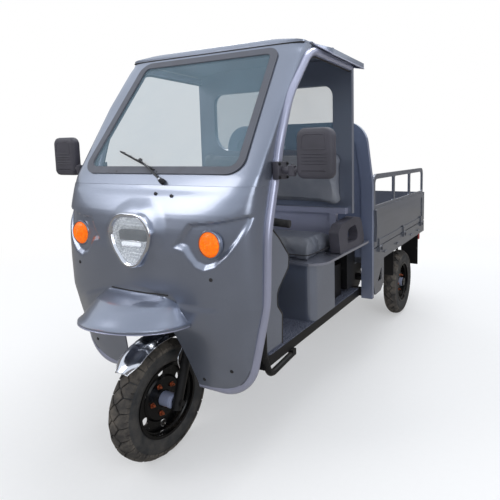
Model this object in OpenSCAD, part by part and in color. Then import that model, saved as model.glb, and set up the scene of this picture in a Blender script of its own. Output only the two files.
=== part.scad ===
// Electric cargo tricycle: one steered front wheel, a half cab with a bench seat, a drop-side cargo bed.
// Frame: millimetres, +Z up, the vehicle drives towards -Y, +X is its left side.
// Lengths along the vehicle are counted back from the front axle and shifted to the middle at the end.

/* [Wheels] */
// Distance between the front and rear axles
wheelbase = 2084; // [1800:2:2400]
// Outer radius of the front tyre
front_tyre_r = 245; // [225:1:260]
// Outer radius of the rear tyres
rear_tyre_r = 250; // [230:1:265]
// Section width of the tyres
tyre_w = 98; // [85:1:110]
// Radius of the bead seat of all rims
rim_r = 152; // [145:1:160]
// Sideways distance from the middle to a rear wheel's centre
rear_half_track = 425; // [410:1:440]
// Radius of the wheel spindles
spindle_r = 9; // [7:0.5:12]

/* [Steering] */
// Lean of the steering axis from upright, in degrees
rake = 20; // [16:0.5:24]
// Distance of the steering axis behind the wheel's centre
fork_offset = 12; // [0:1:30]
// Sideways distance from the middle to a fork leg
fork_half = 90; // [84:1:100]
// Radius of a fork leg's lower slider
fork_leg_r = 20; // [16:0.5:24]
// Height of the handlebar's clamp
bar_z = 962; // [940:1:990]
// Half width of the handlebar
bar_half = 388; // [340:1:400]
// Radius of the handlebar tube
bar_r = 11; // [9:0.5:14]

/* [Cab] */
// Sideways distance from the middle to the centre of a cab hoop
hoop_half = 500; // [480:1:520]
// Outer radius of the cab hoop tube
hoop_r = 19; // [15:0.5:24]
// Thickness of the moulded cab panels
panel_t = 5; // [3:0.5:8]
// Height of the lower edge of the windscreen's gasket
screen_z0 = 1192; // [1170:1:1210]
// Height of the upper edge of the windscreen's gasket
screen_z1 = 1721; // [1690:1:1730]
// Distance from the hoop's centre in to the windscreen's gasket at the bottom
screen_in0 = 67; // [55:1:100]
// Distance from the hoop's centre in to the windscreen's gasket at the top
screen_in1 = 102; // [90:1:130]
// Visible width of the windscreen's gasket
gasket_w = 34; // [24:1:44]
// Half width of the roof over its rain edge
roof_half = 560; // [540:1:590]
// Height of the roof's crown
roof_z = 1780; // [1770:1:1800]
// Length of the roof's rear end behind the front axle
roof_y1 = 955; // [940:1:1000]

/* [Seat] */
// Height of the top of the cab floor
floor_z = 453; // [440:1:470]
// Height of the top of the seat deck
deck_z = 753; // [720:1:770]
// Thickness of the seat cushion
cushion_t = 96; // [70:1:105]
// Half width of the seat cushion
cushion_half = 440; // [400:1:450]
// Place of the seat cushion's front behind the front axle
cushion_y0 = 530; // [520:1:560]
// Depth of the seat cushion
cushion_d = 320; // [280:1:330]

/* [Bed] */
// Half width of the bed over its boards
bed_half = 532; // [520:1:560]
// Place of the bed's front end behind the front axle
bed_y0 = 1200; // [1195:1:1230]
// Length of the bed behind the rear axle
bed_overhang = 416; // [380:2:460]
// Height of the bed's floor
bed_z = 690; // [670:1:710]
// Height of the boards
board_h = 239; // [200:1:260]
// Thickness of the boards
board_t = 25; // [20:1:32]
// Height of the guard rails over the boards
guard_h = 207; // [160:1:240]
// Thickness of the guard frames
guard_t = 14; // [10:0.5:20]

/* [Hidden] */
$fn = 64;

// Gap between pieces that seat on each other
seat_gap = 0.3;
// Gap between moving pieces that pass each other
swing_gap = 6;
// Radial clearance of a spindle in its bore
bore_gap = 0.1;

// Half widths of the windscreen's gasket
screen_half0 = hoop_half - screen_in0;
screen_half1 = hoop_half - screen_in1;
// Place of the bed's rear end behind the front axle
bed_y1 = wheelbase + bed_overhang;

// Reach of the visor ahead of the front axle, and the hinge line behind the bed
visor_reach = 300;
hinge_out = 8;
hinge_r = 7;
hinge_pin_r = 3.5;
mid_y = (bed_y1 + hinge_out + hinge_r - visor_reach) / 2;

// Colours
paint = [0.49, 0.53, 0.61];
tube_paint = [0.65, 0.65, 0.74];
black_steel = [0.07, 0.07, 0.08];
rubber = [0.2, 0.2, 0.21];
seat_grey = [0.42, 0.43, 0.46];
plastic = [0.22, 0.21, 0.22];
chrome = [0.8, 0.8, 0.82];
clear = [0.8, 0.83, 0.86];
amber = [0.94, 0.43, 0.04];

module in_frame() { translate([0, -mid_y, 0]) children(); }
module both_sides() { children(); mirror([1, 0, 0]) children(); }

// Vectors and outlines
function unit(v) = v / norm(v);
function turn_of(a, b) = acos(max(-1, min(1, unit(a) * unit(b))));

// An outline whose corners are rounded by the radii rs, each with k steps
function rounded(pts, rs, k = 6) = [for (i = [0:len(pts) - 1])
    let (p = pts[i], u = unit(pts[(i + len(pts) - 1) % len(pts)] - p),
        v = unit(pts[(i + 1) % len(pts)] - p), half = turn_of(u, v) / 2, r = rs[i])
    each (r <= 0 ? [p] : let (c = p + unit(u + v) * r / sin(half),
            a = p + u * r / tan(half) - c, b = p + v * r / tan(half) - c,
            side = sign(a[0] * b[1] - a[1] * b[0]))
        [for (s = [0:k]) let (w = side * (180 - 2 * half) * s / k)
            c + [a[0] * cos(w) - a[1] * sin(w), a[0] * sin(w) + a[1] * cos(w)]])];

// A plate of a rounded outline in X and Y
module slab(pts, rs, z0, z1, k = 6) {
    translate([0, 0, z0]) linear_extrude(z1 - z0) polygon(rounded(pts, rs, k));
}
// A side profile in Y and Z, extruded across from x0 to x1
module side_slab(pts, rs, x0, x1, k = 6) {
    translate([x0, 0, 0]) rotate([90, 0, 90]) linear_extrude(x1 - x0) polygon(rounded(pts, rs, k));
}
// A front outline in X and Z, extruded back from y0 to y1
module front_slab(pts, rs, y0, y1, k = 6) {
    translate([0, y1, 0]) rotate([90, 0, 0]) linear_extrude(y1 - y0) polygon(rounded(pts, rs, k));
}
function box2(x0, x1, y0, y1) = [[x0, y0], [x1, y0], [x1, y1], [x0, y1]];
module box(x0, x1, y0, y1, z0, z1) { translate([x0, y0, z0]) cube([x1 - x0, y1 - y0, z1 - z0]); }

// A rod from a to b
module rod(a, b, r) {
    d = b - a;
    translate(a) rotate([0, acos(d[2] / norm(d)), atan2(d[1], d[0])]) cylinder(r = r, h = norm(d));
}
// The points along a bent centre line, with arcs of the given bend radii
function bent_line(pts, bends, step = 13) = let (n = len(pts) - 1) [for (i = [0:n])
    each (i == 0 || i == n ? [pts[i]] : let (d1 = unit(pts[i] - pts[i - 1]), d2 = unit(pts[i + 1] - pts[i]),
        w = turn_of(d1, d2), k = ceil(w / step), out = cross(d1, unit(cross(d1, d2))),
        c = pts[i] - d1 * bends[i] * tan(w / 2) - out * bends[i])
        [for (s = [0:k]) c + bends[i] * (out * cos(w * s / k) + d1 * sin(w * s / k))])];
// Sideways vectors carried along a line without twist
function carried(d, i, u) = i == len(d) ? [] : let (v = unit(u - (u * d[i]) * d[i]))
    concat([v], carried(d, i + 1, v));
// A tube swept along such a line, for bends that lie in several planes
module swept_tube(pts, bends, r, sides = 12) {
    line = bent_line(pts, bends);
    n = len(line) - 1;
    d = [for (i = [0:n]) unit(line[min(i + 1, n)] - line[max(i - 1, 0)])];
    u = carried(d, 0, [0.31, 0.27, 0.91]);
    points = [for (i = [0:n], k = [0:sides - 1]) let (w = 360 * k / sides)
        line[i] + r * (u[i] * cos(w) + cross(d[i], u[i]) * sin(w))];
    walls = [for (i = [0:n - 1], k = [0:sides - 1]) let (a = i * sides + k, b = i * sides + (k + 1) % sides)
        each [[a, a + sides, b + sides], [a, b + sides, b]]];
    polyhedron(points = points, convexity = 8,
        faces = concat(walls, [[for (k = [0:sides - 1]) k], [for (k = [sides - 1:-1:0]) n * sides + k]]));
}

// A skin of even thickness t under a grid of points whose rows and columns turn outwards
function grid_normal(g, i, j) = let (n = len(g) - 1, m = len(g[0]) - 1)
    unit(cross(g[min(i + 1, n)][j] - g[max(i - 1, 0)][j], g[i][min(j + 1, m)] - g[i][max(j - 1, 0)]));
module skin(g, t) {
    between(g, [for (i = [0:len(g) - 1]) [for (j = [0:len(g[0]) - 1]) g[i][j] - t * grid_normal(g, i, j)]]);
}
// The solid between an outer grid and an inner one
module between(g, inner) {
    n = len(g) - 1;
    m = len(g[0]) - 1;
    off = (n + 1) * (m + 1);
    rim = concat([for (j = [0:m]) j], [for (i = [1:n]) i * (m + 1) + m],
        [for (j = [m - 1:-1:0]) n * (m + 1) + j], [for (i = [n - 1:-1:1]) i * (m + 1)]);
    sheets = [for (i = [0:n - 1], j = [0:m - 1])
        let (a = i * (m + 1) + j, b = a + 1, c = b + m + 1, d = c - 1)
        each [[a, b, c], [a, c, d], [off + a, off + c, off + b], [off + a, off + d, off + c]]];
    edges = [for (k = [0:len(rim) - 1]) let (a = rim[k], b = rim[(k + 1) % len(rim)])
        each [[a, off + a, off + b], [a, off + b, b]]];
    polyhedron(points = concat([for (row = g) each row], [for (row = inner) each row]),
        faces = concat(sheets, edges), convexity = 6);
}

// Side rails of the ladder frame
rail_x0 = 410;
rail_x1 = 450;
rail_z0 = 405;
rail_z1 = 450;

// Rear wall of the cab, front and back face
wall_y0 = 905;
wall_y1 = 935;

// Steering axis: a point on it at height z
function axis_y(z) = fork_offset + (z - front_tyre_r) * tan(rake);
function on_axis(z) = [0, axis_y(z), z];

// Cab hoop: the corner points of its centre line, from the roof's rear to the wheel cut-out
hoop_end_z = 338;
hoop_end_x = 195;
hoop_top_z = 1716;
hoop_pts = [[hoop_half, wall_y0 - seat_gap, hoop_top_z], [hoop_half, 452, hoop_top_z],
    [hoop_half, 262, 1500], [hoop_half, 190, 1330],
    [hoop_half, 80, 975], [hoop_half + 6, 52, 699], [hoop_half - 69, 35, hoop_end_z],
    [hoop_end_x, 35, hoop_end_z]];
hoop_bends = [0, 150, 400, 600, 500, 400, 150, 0];
module hoop_path(r) { swept_tube(hoop_pts, hoop_bends, r); }

// Half width of the hoop's centre line at height z: its lower bend, then its flared side
bend_r = hoop_bends[6];
bend_x = hoop_pts[6][0] - bend_r * tan(turn_of(hoop_pts[6] - hoop_pts[5], [-1, 0, 0]) / 2);
side_x = [for (k = [4:5]) [hoop_pts[k][2], hoop_pts[k][0]]];
function hoop_x(z) = z > hoop_end_z + 0.9 * bend_r
    ? lookup(z, [[hoop_end_z + 0.9 * bend_r, bend_x + 0.995 * bend_r], side_x[1], side_x[0]])
    : bend_x + sqrt(max(0, bend_r * bend_r - pow(hoop_end_z + bend_r - z, 2)));

// Front panel: rows are [height, depth of the edge, depth of the middle, squareness]
screen_y0 = 21;
screen_slope = 0.677;
function screen_y(z) = screen_y0 + (z - screen_z0) * screen_slope;
crease_z = 1150;
front_rows = [[341, 35, 14, 3.4], [381, 36, 4, 3.4], [440, 37, -12, 3.2], [505, 40, -32, 3.2],
    [600, 45, -58, 3.2], [700, 52, -80, 3.2], [816, 64, -95, 3.2], [900, 72, -100, 3.2],
    [975, 80, -94, 3.4], [1050, 103, -72, 4], [1110, 122, -40, 5], [crease_z, 134, -8, 7]];
function row_of(z, c) = lookup(z, [for (r = front_rows) [r[0], r[c]]]);
function soft_row(z, c) = (row_of(z - 18, c) + 2 * row_of(z, c) + row_of(z + 18, c)) / 4;
function front_pt(half, edge_y, mid_y, power, s) =
    let (c = pow(max(0, 1 - pow(abs(s), power)), 1 / power)) [half * s, edge_y - (edge_y - mid_y) * c];
// Columns crowd towards the edge, where the panel turns round to the hoop
front_cols = 22;
function col(j, n = front_cols) = sin(90 * (1 - 2 * j / n));

// The headlight's middle, its front and its outline round the middle
lamp_z = 943;
lamp_y = -120;
lamp_corners = [[-120, 104], [120, 104], [64, -106], [-64, -106]];
lamp_radii = [76, 76, 60, 60];

// Relief of the panel, seen from the front: a pocket round each turn signal, a wave over the visor and
// a hood round the headlight
pocket_top = [[186, 924], [224, 962], [262, 1016], [366, 1025], [442, 1040], [502, 1054]];
pocket_low = [[502, 1054], [488, 1008], [459, 952], [423, 902], [375, 858], [328, 843], [286, 858],
    [256, 892], [240, 914], [214, 920], [186, 924]];
pocket_depth = 17;
pocket_edge0 = 9;
pocket_edge1 = 27;
wave_top = [[0, 756], [50, 752], [128, 726], [237, 711], [327, 711], [420, 712]];
wave_drop = 32;
wave_out = 11;
hood_out = 13;
hood_w = 58;
function soft(v) = let (c = max(0, min(1, v))) c * c * (3 - 2 * c);
function to_segment(p, a, b) = let (d = b - a, t = max(0, min(1, (p - a) * d / (d * d))))
    norm(p - a - t * d);
function to_line(p, pts) = min([for (i = [0:len(pts) - 2]) to_segment(p, pts[i], pts[i + 1])]);
function inside(p, pts) = len([for (i = [0:len(pts) - 1]) let (a = pts[i], b = pts[(i + 1) % len(pts)])
    if ((a[1] > p[1]) != (b[1] > p[1])
        && p[0] < (b[0] - a[0]) * (p[1] - a[1]) / (b[1] - a[1]) + a[0]) 1]) % 2 == 1;
function pocket(p) = inside(p, concat(pocket_top, pocket_low)) ? pocket_depth
    * soft(to_line(p, pocket_top) / pocket_edge0) * soft(to_line(p, pocket_low) / pocket_edge1) : 0;
function wave(p) = wave_out * soft((lookup(p[0], wave_top) - p[1]) / wave_drop) * soft((p[1] - 480) / 170)
    * soft((430 - p[0]) / 110);
function hood(x, z) = let (p = [x, z - lamp_z], ring = rounded(lamp_corners, lamp_radii))
    inside(p, ring) ? hood_out : hood_out * soft(1 - to_line(p, concat(ring, [ring[0]])) / hood_w)
    * (0.3 + 0.7 * soft((z - 860) / 120));
function relief(x, z) = let (p = [abs(x), z]) pocket(p) - wave(p) - hood(x, z);
relief_cols = 38;
front_z = [341, 352, 372, 400, 440, 490, 560, 610, 650, 676, 694, 712, 730, 748, 780, 815, 840, 858, 876,
    900, 922, 945, 970, 995, 1012, 1026, 1044, 1062, 1100, crease_z - seat_gap];
fairing_grid = [for (z = front_z) [for (j = [0:relief_cols])
    let (p = front_pt(hoop_x(z), soft_row(z, 1), soft_row(z, 2), soft_row(z, 3), col(j, relief_cols)))
    [p[0], p[1] + relief(p[0], z), z]]];
// Wheel cut-out in the fairing
arch_half0 = 196;
arch_half1 = 140;
arch_z1 = 600;
module wheel_cut_out() {
    front_slab([[-arch_half0 - 12, 300], [arch_half0 + 12, 300], [arch_half1, arch_z1], [70, arch_z1 + 66],
        [-70, arch_z1 + 66], [-arch_half1, arch_z1]], [0, 0, 60, 60, 60, 60], -250, 60);
}
module front_fairing() color(paint) in_frame() difference() {
    skin(fairing_grid, panel_t);
    both_sides() hoop_path(hoop_r + seat_gap);
    wheel_cut_out();
    lamp_outline(seat_gap, -200, 0);
    both_sides() translate([signal_x, 0, lamp_z]) rotate([90, 0, 0])
        cylinder(r = signal_r + seat_gap, h = 200);
}

// Upper rows: the windscreen's plane, square at the corners, up to the header
header_z = 1738;
surround_rows = [crease_z + seat_gap, 1192, 1330, 1500, 1620, 1690, header_z];
function hoop_y(z) = lookup(z, [[1150, 134], [1240, 161], [1330, 190], [1500, 262], [1620, 362], [1690, 426],
    [1716, 470]]);
surround_grid = [for (z = surround_rows) [for (j = [0:front_cols])
    let (p = front_pt(hoop_half, max(hoop_y(z), screen_y(z) + 30), screen_y(z), z < 1180 ? 7 : 9, col(j)))
    [p[0], p[1], z]]];
module screen_frame() {
    translate([0, screen_y0, screen_z0]) rotate([90 - atan(screen_slope), 0, 0]) children();
}
screen_len = (screen_z1 - screen_z0) * sqrt(1 + screen_slope * screen_slope);
// The gasket's outline, moved inwards by d; in the screen's own plane, Z is its outward normal
module screen_outline(d) {
    polygon(rounded([[-screen_half0 + d, d], [screen_half0 - d, d], [screen_half1 - d, screen_len - d],
        [-screen_half1 + d, screen_len - d]], [70 - d, 70 - d, 62 - d, 62 - d], 8));
}
module screen_prism(d, n0, n1) {
    screen_frame() translate([0, 0, n0]) linear_extrude(n1 - n0) screen_outline(d);
}
gasket_lip = 12;
module screen_surround() color(paint) in_frame() difference() {
    skin(surround_grid, panel_t);
    both_sides() hoop_path(hoop_r + seat_gap);
    screen_prism(gasket_lip, -60, 60);
}
glass_t = 5;
module windscreen_gasket() color(rubber) in_frame() difference() {
    screen_prism(0, -panel_t - 9, 5);
    screen_prism(gasket_w, -60, 60);
    difference() {
        screen_prism(-10, -panel_t - 5, seat_gap);
        screen_prism(gasket_lip + seat_gap, -60, 60);
    }
    screen_prism(gasket_w - 10, -glass_t, 0);
}
module windscreen() color(clear) in_frame()
    screen_prism(gasket_w - 10 + seat_gap, -glass_t + seat_gap, -seat_gap);

// Roof: a crowned shell with a drip edge turned down along its sides and rear. The profile's points are
// [depth, height, how far the inner face lies behind, how far below], from the header to the rear
roof_t = 6;
roof_drop = 44;
roof_edge = 26;
roof_y0 = screen_y(header_z) + 1;
roof_z0 = header_z + 0.6;
roof_rear_z = roof_z - 7;
roof_profile = [[roof_y0, header_z + roof_t, 1, 0.5], [399, 1759, 0.85, 0.75], [415, 1770, 0.5, 0.95],
    [447, 1776, 0.2, 1], [515, 1779, 0, 1], [640, roof_z, 0, 1], [880, roof_rear_z, 0, 1],
    [roof_y1, roof_rear_z, -1, 1]];
roof_side = [1, 0.97, 0.88, 0.78, 0.66, 0.53, 0.4, 0.27, 0.13];
roof_s = concat(roof_side, [0], [for (k = [len(roof_side) - 1:-1:0]) -roof_side[k]]);
function brow_y(s) = let (edge = hoop_y(header_z) + 14) front_pt(hoop_half, edge, 0, 9, s)[1]
    * (edge - screen_y(header_z)) / edge;
function crown_z(x) = roof_z - roof_drop * pow(abs(x) / roof_half, 2.6);
function roof_under(x) = min(roof_rear_z, crown_z(x * roof_half / (roof_half - roof_t))) - roof_t - 1;
// The roof's outer block, or with d the hollow under it, open below
module roof_block(d) {
    low = d > 0 ? roof_z0 - 100 : crown_z(roof_half) - roof_edge;
    lip = d > 0 ? low : roof_z0;
    plan = concat([for (s = roof_s) [(hoop_half - d) * s, roof_y0 + d + brow_y(s)]],
        [[-hoop_half - 40 + d, 500 + d], [-roof_half + d, 560 + d], [-roof_half + d, roof_y1 - d],
        [roof_half - d, roof_y1 - d], [roof_half - d, 560 + d], [hoop_half + 40 - d, 500 + d]]);
    crown = concat([for (s = roof_s) [(roof_half - d) * s, crown_z(roof_half * s) - d]],
        [[-roof_half + d, low], [roof_half - d, low]]);
    side = concat([for (p = roof_profile) [p[0] + d * p[2], p[1] - d * p[3]]],
        [[roof_y1 - d, low], [560 + d, low], [490, lip], [roof_y0 + d, lip]]);
    intersection() {
        slab(plan, [for (p = plan) 0], low - 1, roof_z + 1);
        front_slab(crown, [for (p = crown) 0], roof_y0 - 1, roof_y1 + 1);
        side_slab(side, [for (p = side) 0], -roof_half - 1, roof_half + 1);
    }
}
module roof_panel() color(paint) in_frame() difference() {
    roof_block(0);
    roof_block(roof_t);
}

module cab_hoop() color(tube_paint) in_frame() hoop_path(hoop_r);
module cab_hoop_left() cab_hoop();
module cab_hoop_right() mirror([1, 0, 0]) cab_hoop();

// Lamps
module lamp_outline(grow, y0, y1) {
    translate([0, 0, lamp_z]) front_slab([for (p = lamp_corners) p + unit(p) * grow * 1.4],
        [for (r = lamp_radii) r + grow], y0, y1, 8);
}
module headlight_bezel() color(chrome) in_frame() difference() {
    lamp_outline(0, lamp_y, lamp_y + 60);
    lamp_outline(-16, lamp_y - 1, lamp_y + 50);
}
module headlight_lens() color(clear) in_frame() intersection() {
    lamp_outline(-16 - seat_gap, lamp_y - 20, lamp_y + 50 - seat_gap);
    translate([0, lamp_y + 488, lamp_z]) sphere(r = 500, $fn = 128);
}
signal_x = 347;
signal_r = 47;
signal_y = -92;
module turn_signals() in_frame() both_sides() translate([signal_x, signal_y, lamp_z]) rotate([-90, 0, 0]) {
    color(amber) intersection() {
        cylinder(r = signal_r, h = 38);
        translate([0, 0, 92]) sphere(r = 92, $fn = 96);
    }
}

// Visor over the front wheel: rows go out from the fairing, columns round the plan
visor_cols = 16;
visor_half = 245;
visor_z = 655;
function visor_pt(w, s) = let (out = visor_reach - 100)
    [visor_half * sin(w) * (0.62 + 0.38 * s), -100 - out * cos(w) * s + 40 * (1 - cos(w)) * s,
        visor_z + 78 - lookup(s, visor_fall) - 22 * sin(w) * sin(w) * s];
// How far the visor has dropped at each part of its reach: a flat top, a steeper face and a lip
visor_fall = [[0, 0], [0.25, 7], [0.5, 19], [0.6, 29], [0.8, 55], [0.93, 74], [0.97, 78], [1, 78]];
visor_grid = [for (s = [0, 0.25, 0.5, 0.6, 0.8, 0.93, 1]) [for (j = [0:visor_cols])
    visor_pt(90 * (2 * j / visor_cols - 1), s)]];
module wheel_visor() color(paint) in_frame() difference() {
    skin(visor_grid, 4);
    skin_block();
}
// What lies behind the fairing's outer face round the visor, with the seat gap
module skin_block() {
    front = [for (row = fairing_grid) if (abs(row[0][2] - visor_z - 35) < 95)
        [for (p = row) p - [0, seat_gap, 0]]];
    between(front, [for (row = front) [for (p = row) [p[0], 200, p[2]]]]);
}

// Wiper: a pivot, an arm and a blade in the screen's own plane
wiper_pivot = [70, -37];
wiper_elbow = [-92, 58];
wiper_tip0 = [-250, 110];
wiper_tip1 = [0, 16];
module wiper() color(black_steel) in_frame() screen_frame() {
    translate([wiper_pivot[0], wiper_pivot[1], 0.6]) cylinder(r = 10, h = 22);
    rod([wiper_pivot[0], wiper_pivot[1], 16], [wiper_elbow[0], wiper_elbow[1], 20], 5);
    translate([wiper_elbow[0], wiper_elbow[1], 8]) cylinder(r = 7, h = 16);
    rod([wiper_tip0[0], wiper_tip0[1], 10], [wiper_tip1[0], wiper_tip1[1], 10], 4.5);
}

// Mirrors on a clamp round the hoop
mirror_x = 685;
mirror_z = 1268;
mirror_y = 128;
mirror_arm_z = 1205;
module mirrors() color(plastic) in_frame() both_sides() difference() {
    union() {
        front_slab(box2(mirror_x - 74, mirror_x + 74, mirror_z - 92, mirror_z + 92), [28, 28, 34, 34],
            mirror_y - 22, mirror_y + 20);
        box(hoop_half + 2, hoop_half + 34, 118, 188, mirror_arm_z - 34, mirror_arm_z + 34);
        box(hoop_half - 24, hoop_half + 4, 172, 188, mirror_arm_z - 34, mirror_arm_z + 34);
        rod([hoop_half + 30, 150, mirror_arm_z], [mirror_x - 96, 122, mirror_arm_z], 12);
        rod([mirror_x - 96, 122, mirror_arm_z - 20], [mirror_x - 96, 122, mirror_arm_z + 22], 15);
        rod([mirror_x - 96, 122, mirror_arm_z], [mirror_x - 60, 126, mirror_arm_z + 8], 10);
    }
    hoop_path(hoop_r + seat_gap);
}

// Leg shield behind the front wheel, with the cover of the steering column in the middle
shield_half = hoop_half - 60;
column_half = 105;
shield_outer = [[96, 1140], [201, 972], [262, 918], [341, 828], [335, 775], [240, 693], [238, 633],
    [276, 585],
    [270, floor_z + seat_gap]];
shield_inner = [for (i = [len(shield_outer) - 1:-1:0]) shield_outer[i] - [panel_t + 1, 3]];
module shield_profile(front) {
    polygon(rounded(concat(shield_outer, front), [0, 60, 40, 40, 30, 50, 30, 18, 0, 0, 0], 5));
}
module leg_shield() color(paint) in_frame() difference() {
    union() {
        translate([-shield_half, 0, 0]) rotate([90, 0, 90]) linear_extrude(2 * shield_half)
            shield_profile([[150, floor_z + seat_gap], [70, 1120]]);
        side_slab([[250, 918], [345, 828], [352, floor_z + seat_gap], [240, floor_z + seat_gap]],
            [20, 50, 0, 0], -column_half, column_half);
    }
    translate([-shield_half + panel_t, 0, 0]) rotate([90, 0, 90])
        linear_extrude(2 * shield_half - 2 * panel_t)
            translate([-panel_t - 1, -3]) shield_profile([[-60, floor_z - 40], [-60, 1150]]);
    side_slab([[60, 905], [245, 905], [335, 824], [345, floor_z - 20], [60, floor_z - 20]],
        [0, 16, 44, 0, 0], -column_half + panel_t, column_half - panel_t);
    side_slab([[-60, 1200], [-60, 300], [262, 300], [262, 560], [225, 600], [225, 690], [90, 1128],
        [80, 1200]], [0, 0, 0, 0, 0, 0, 0, 0], -shield_half + 20, shield_half - 20);
    translate(on_axis(bar_z - 80)) rotate([-rake, 0, 0]) cylinder(r = 34, h = 90);
}

module instrument() color(plastic) in_frame()
    side_slab([[163.6, 1032.4], [147.6, 1046.4], [212, 1012], [220, 990], [203.6, 976.4]], [4, 4, 8, 6, 3],
        -95, 95);

// Seat
deck_half = hoop_half + 20;
deck_y0 = 500;
deck_y1 = 1150;
deck_t = 12;
box_y0 = 542;
box_y1 = 800;
box_half = rail_x1 + 5;
module battery_box() color(paint) in_frame()
    slab(box2(-box_half, box_half, box_y0, box_y1), [45, 45, 12, 12], floor_z + seat_gap,
        deck_z - deck_t - seat_gap);
module seat_deck() color(tube_paint) in_frame() {
    slab(box2(-deck_half, deck_half, deck_y0, deck_y1), [95, 95, 8, 8], deck_z - deck_t, deck_z);
}
cushion_y1 = cushion_y0 + cushion_d;
module seat_cushion() color(seat_grey) in_frame()
    side_slab(box2(cushion_y0, cushion_y1, deck_z + seat_gap, deck_z + seat_gap + cushion_t),
        [34, 26, 30, 40], -cushion_half, cushion_half);
bar_z0 = 945;
bar_z1 = 975;
module seat_back_frame() color(paint) in_frame() {
    box(-hoop_half + 14, hoop_half - 14, 868, wall_y0 - seat_gap, bar_z0, bar_z1);
    box(-430, 430, 884, 898, 815, bar_z0);
    both_sides() box(392, 430, 866, 898, deck_z + seat_gap, bar_z0);
}
module backrest_pad() color(seat_grey) in_frame()
    side_slab(box2(838, wall_y0 - seat_gap, bar_z1 + seat_gap, window_z0), [24, 6, 6, 30],
        -hoop_half + 30, hoop_half - 30);
armrest_x0 = hoop_half - 45;
armrest_x1 = hoop_half + 10;
module armrests() color(plastic) in_frame() both_sides() difference() {
    side_slab([[745, deck_z + seat_gap], [1085, deck_z + seat_gap], [1085, 800], [1040, 905], [955, 922],
        [760, 905], [720, 868]], [10, 10, 30, 60, 40, 50, 20], armrest_x0, armrest_x1);
    side_slab([[842, 790], [985, 790], [985, 830], [955, 880], [842, 868]], [20, 20, 20, 30, 30],
        armrest_x0 - 5, armrest_x1 + 5);
}
window_half = hoop_half - 100;
window_z0 = 1292;
window_z1 = 1632;
window_pts = box2(-window_half, window_half, window_z0, window_z1);
wall_half = hoop_half + 10;
module rear_wall() color(paint) in_frame() difference() {
    front_slab(concat([[-wall_half, bar_z0], [wall_half, bar_z0]],
        [for (k = [6:-1:-6]) let (x = k * wall_half / 6) [x, roof_under(x)]]),
        [for (k = [0:14]) 0], wall_y0, wall_y1);
    front_slab(window_pts, [110, 110, 60, 60], wall_y0 - 5, wall_y1 + 5, 8);
    box(-wall_half + 55, wall_half - 55, wall_y0 + 3, wall_y1 + 5, bar_z0 + 35, window_z0 - 35);
    both_sides() hoop_path(hoop_r + seat_gap);
}
module rear_glass() color(clear) in_frame()
    front_slab([for (p = window_pts) p + [-sign(p[0]), p[1] > 1400 ? -1 : 1] * seat_gap],
        [110, 110, 60, 60], wall_y0 + 10, wall_y0 + 15, 8);

module controller_block() color(black_steel) in_frame() {
    box(-400, 400, 840, 1000, floor_z + seat_gap, 640);
    box(-430, 430, 1020, 1140, 480, deck_z - deck_t - seat_gap);
    box(-380, 380, 1000, 1020, 500, 600);
}

// Ladder frame
spar_x0 = 280;
spar_x1 = 320;
spar_z0 = 470;
spar_z1 = 530;
head_z0 = 650;
head_z1 = 830;
step_pts = [[hoop_half - 28, 78, 600], [rail_x1, 112, 470], [rail_x1, 150, 368], [rail_x1, 340, 384]];
step_bends = [0, 90, 45, 0];
module step_path(r) { swept_tube(step_pts, step_bends, r, 12); }
module step_bars() color(black_steel) in_frame() both_sides() difference() {
    union() {
        step_path(14);
        box(438, 462, 322, 352, 376, rail_z0 - seat_gap);
    }
    hoop_path(hoop_r + seat_gap);
}
module main_frame() color(black_steel) in_frame() {
    both_sides() difference() {
        union() {
            box(rail_x0, rail_x1, 100, 1200, rail_z0, rail_z1);
            box(spar_x0, spar_x1, 1170, bed_y1 - 30, spar_z0, spar_z1);
            box(spar_x0, spar_x1, 1170, 1200, rail_z0, spar_z0);
            box(rail_x0, 462.6, 1165, 1195, rail_z0, rail_z1);
        }
        step_path(14 + seat_gap);
        box(380, 480, 60, 112, 380, 480);
    }
    for (y = [300, 790, 1170]) box(-rail_x0, rail_x0, y, y + 30, rail_z0, rail_z1);
    for (y = [bed_y0 + 360, bed_y1 - 60]) box(-spar_x0, spar_x0, y, y + 30, spar_z0, spar_z1);
    difference() {
        union() {
            rod(on_axis(head_z0), on_axis(head_z1), 27);
            both_sides() rod([12, axis_y(760) + 8, 760], [70, 314, 436], 15);
            both_sides() rod([10, axis_y(800) - 6, 800], [150, 70, 800], 12);
            rod([-hoop_half + hoop_r + 1, 66, 800], [hoop_half - hoop_r - 1, 66, 800], 14);
        }
        rod(on_axis(head_z0 - 40), on_axis(head_z1 + 40), stem_r + bore_gap);
        both_sides() hoop_path(hoop_r + seat_gap);
    }
}
module floor_pan() color([0.3, 0.33, 0.4]) in_frame() difference() {
    slab(box2(-rail_x1, rail_x1, 150, 1150), [20, 20, 0, 0], rail_z1, floor_z);
    slab(box2(-230, 230, 100, 296), [0, 0, 40, 40], rail_z1 - 5, floor_z + 5);
    slab(box2(-column_half + 5, column_half - 5, 280, 345), [0, 0, 10, 10], rail_z1 - 5, floor_z + 5);
}

// Bed
board_x0 = bed_half - board_t;
chan_z0 = 600;
gate_z0 = bed_z + swing_gap;
hinge_z = bed_z;
hinge_ys = [bed_y0 + 100, (bed_y0 + bed_y1) / 2, bed_y1 - 120];
hinge_xs = [-bed_half + 152, 0, bed_half - 152];
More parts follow.
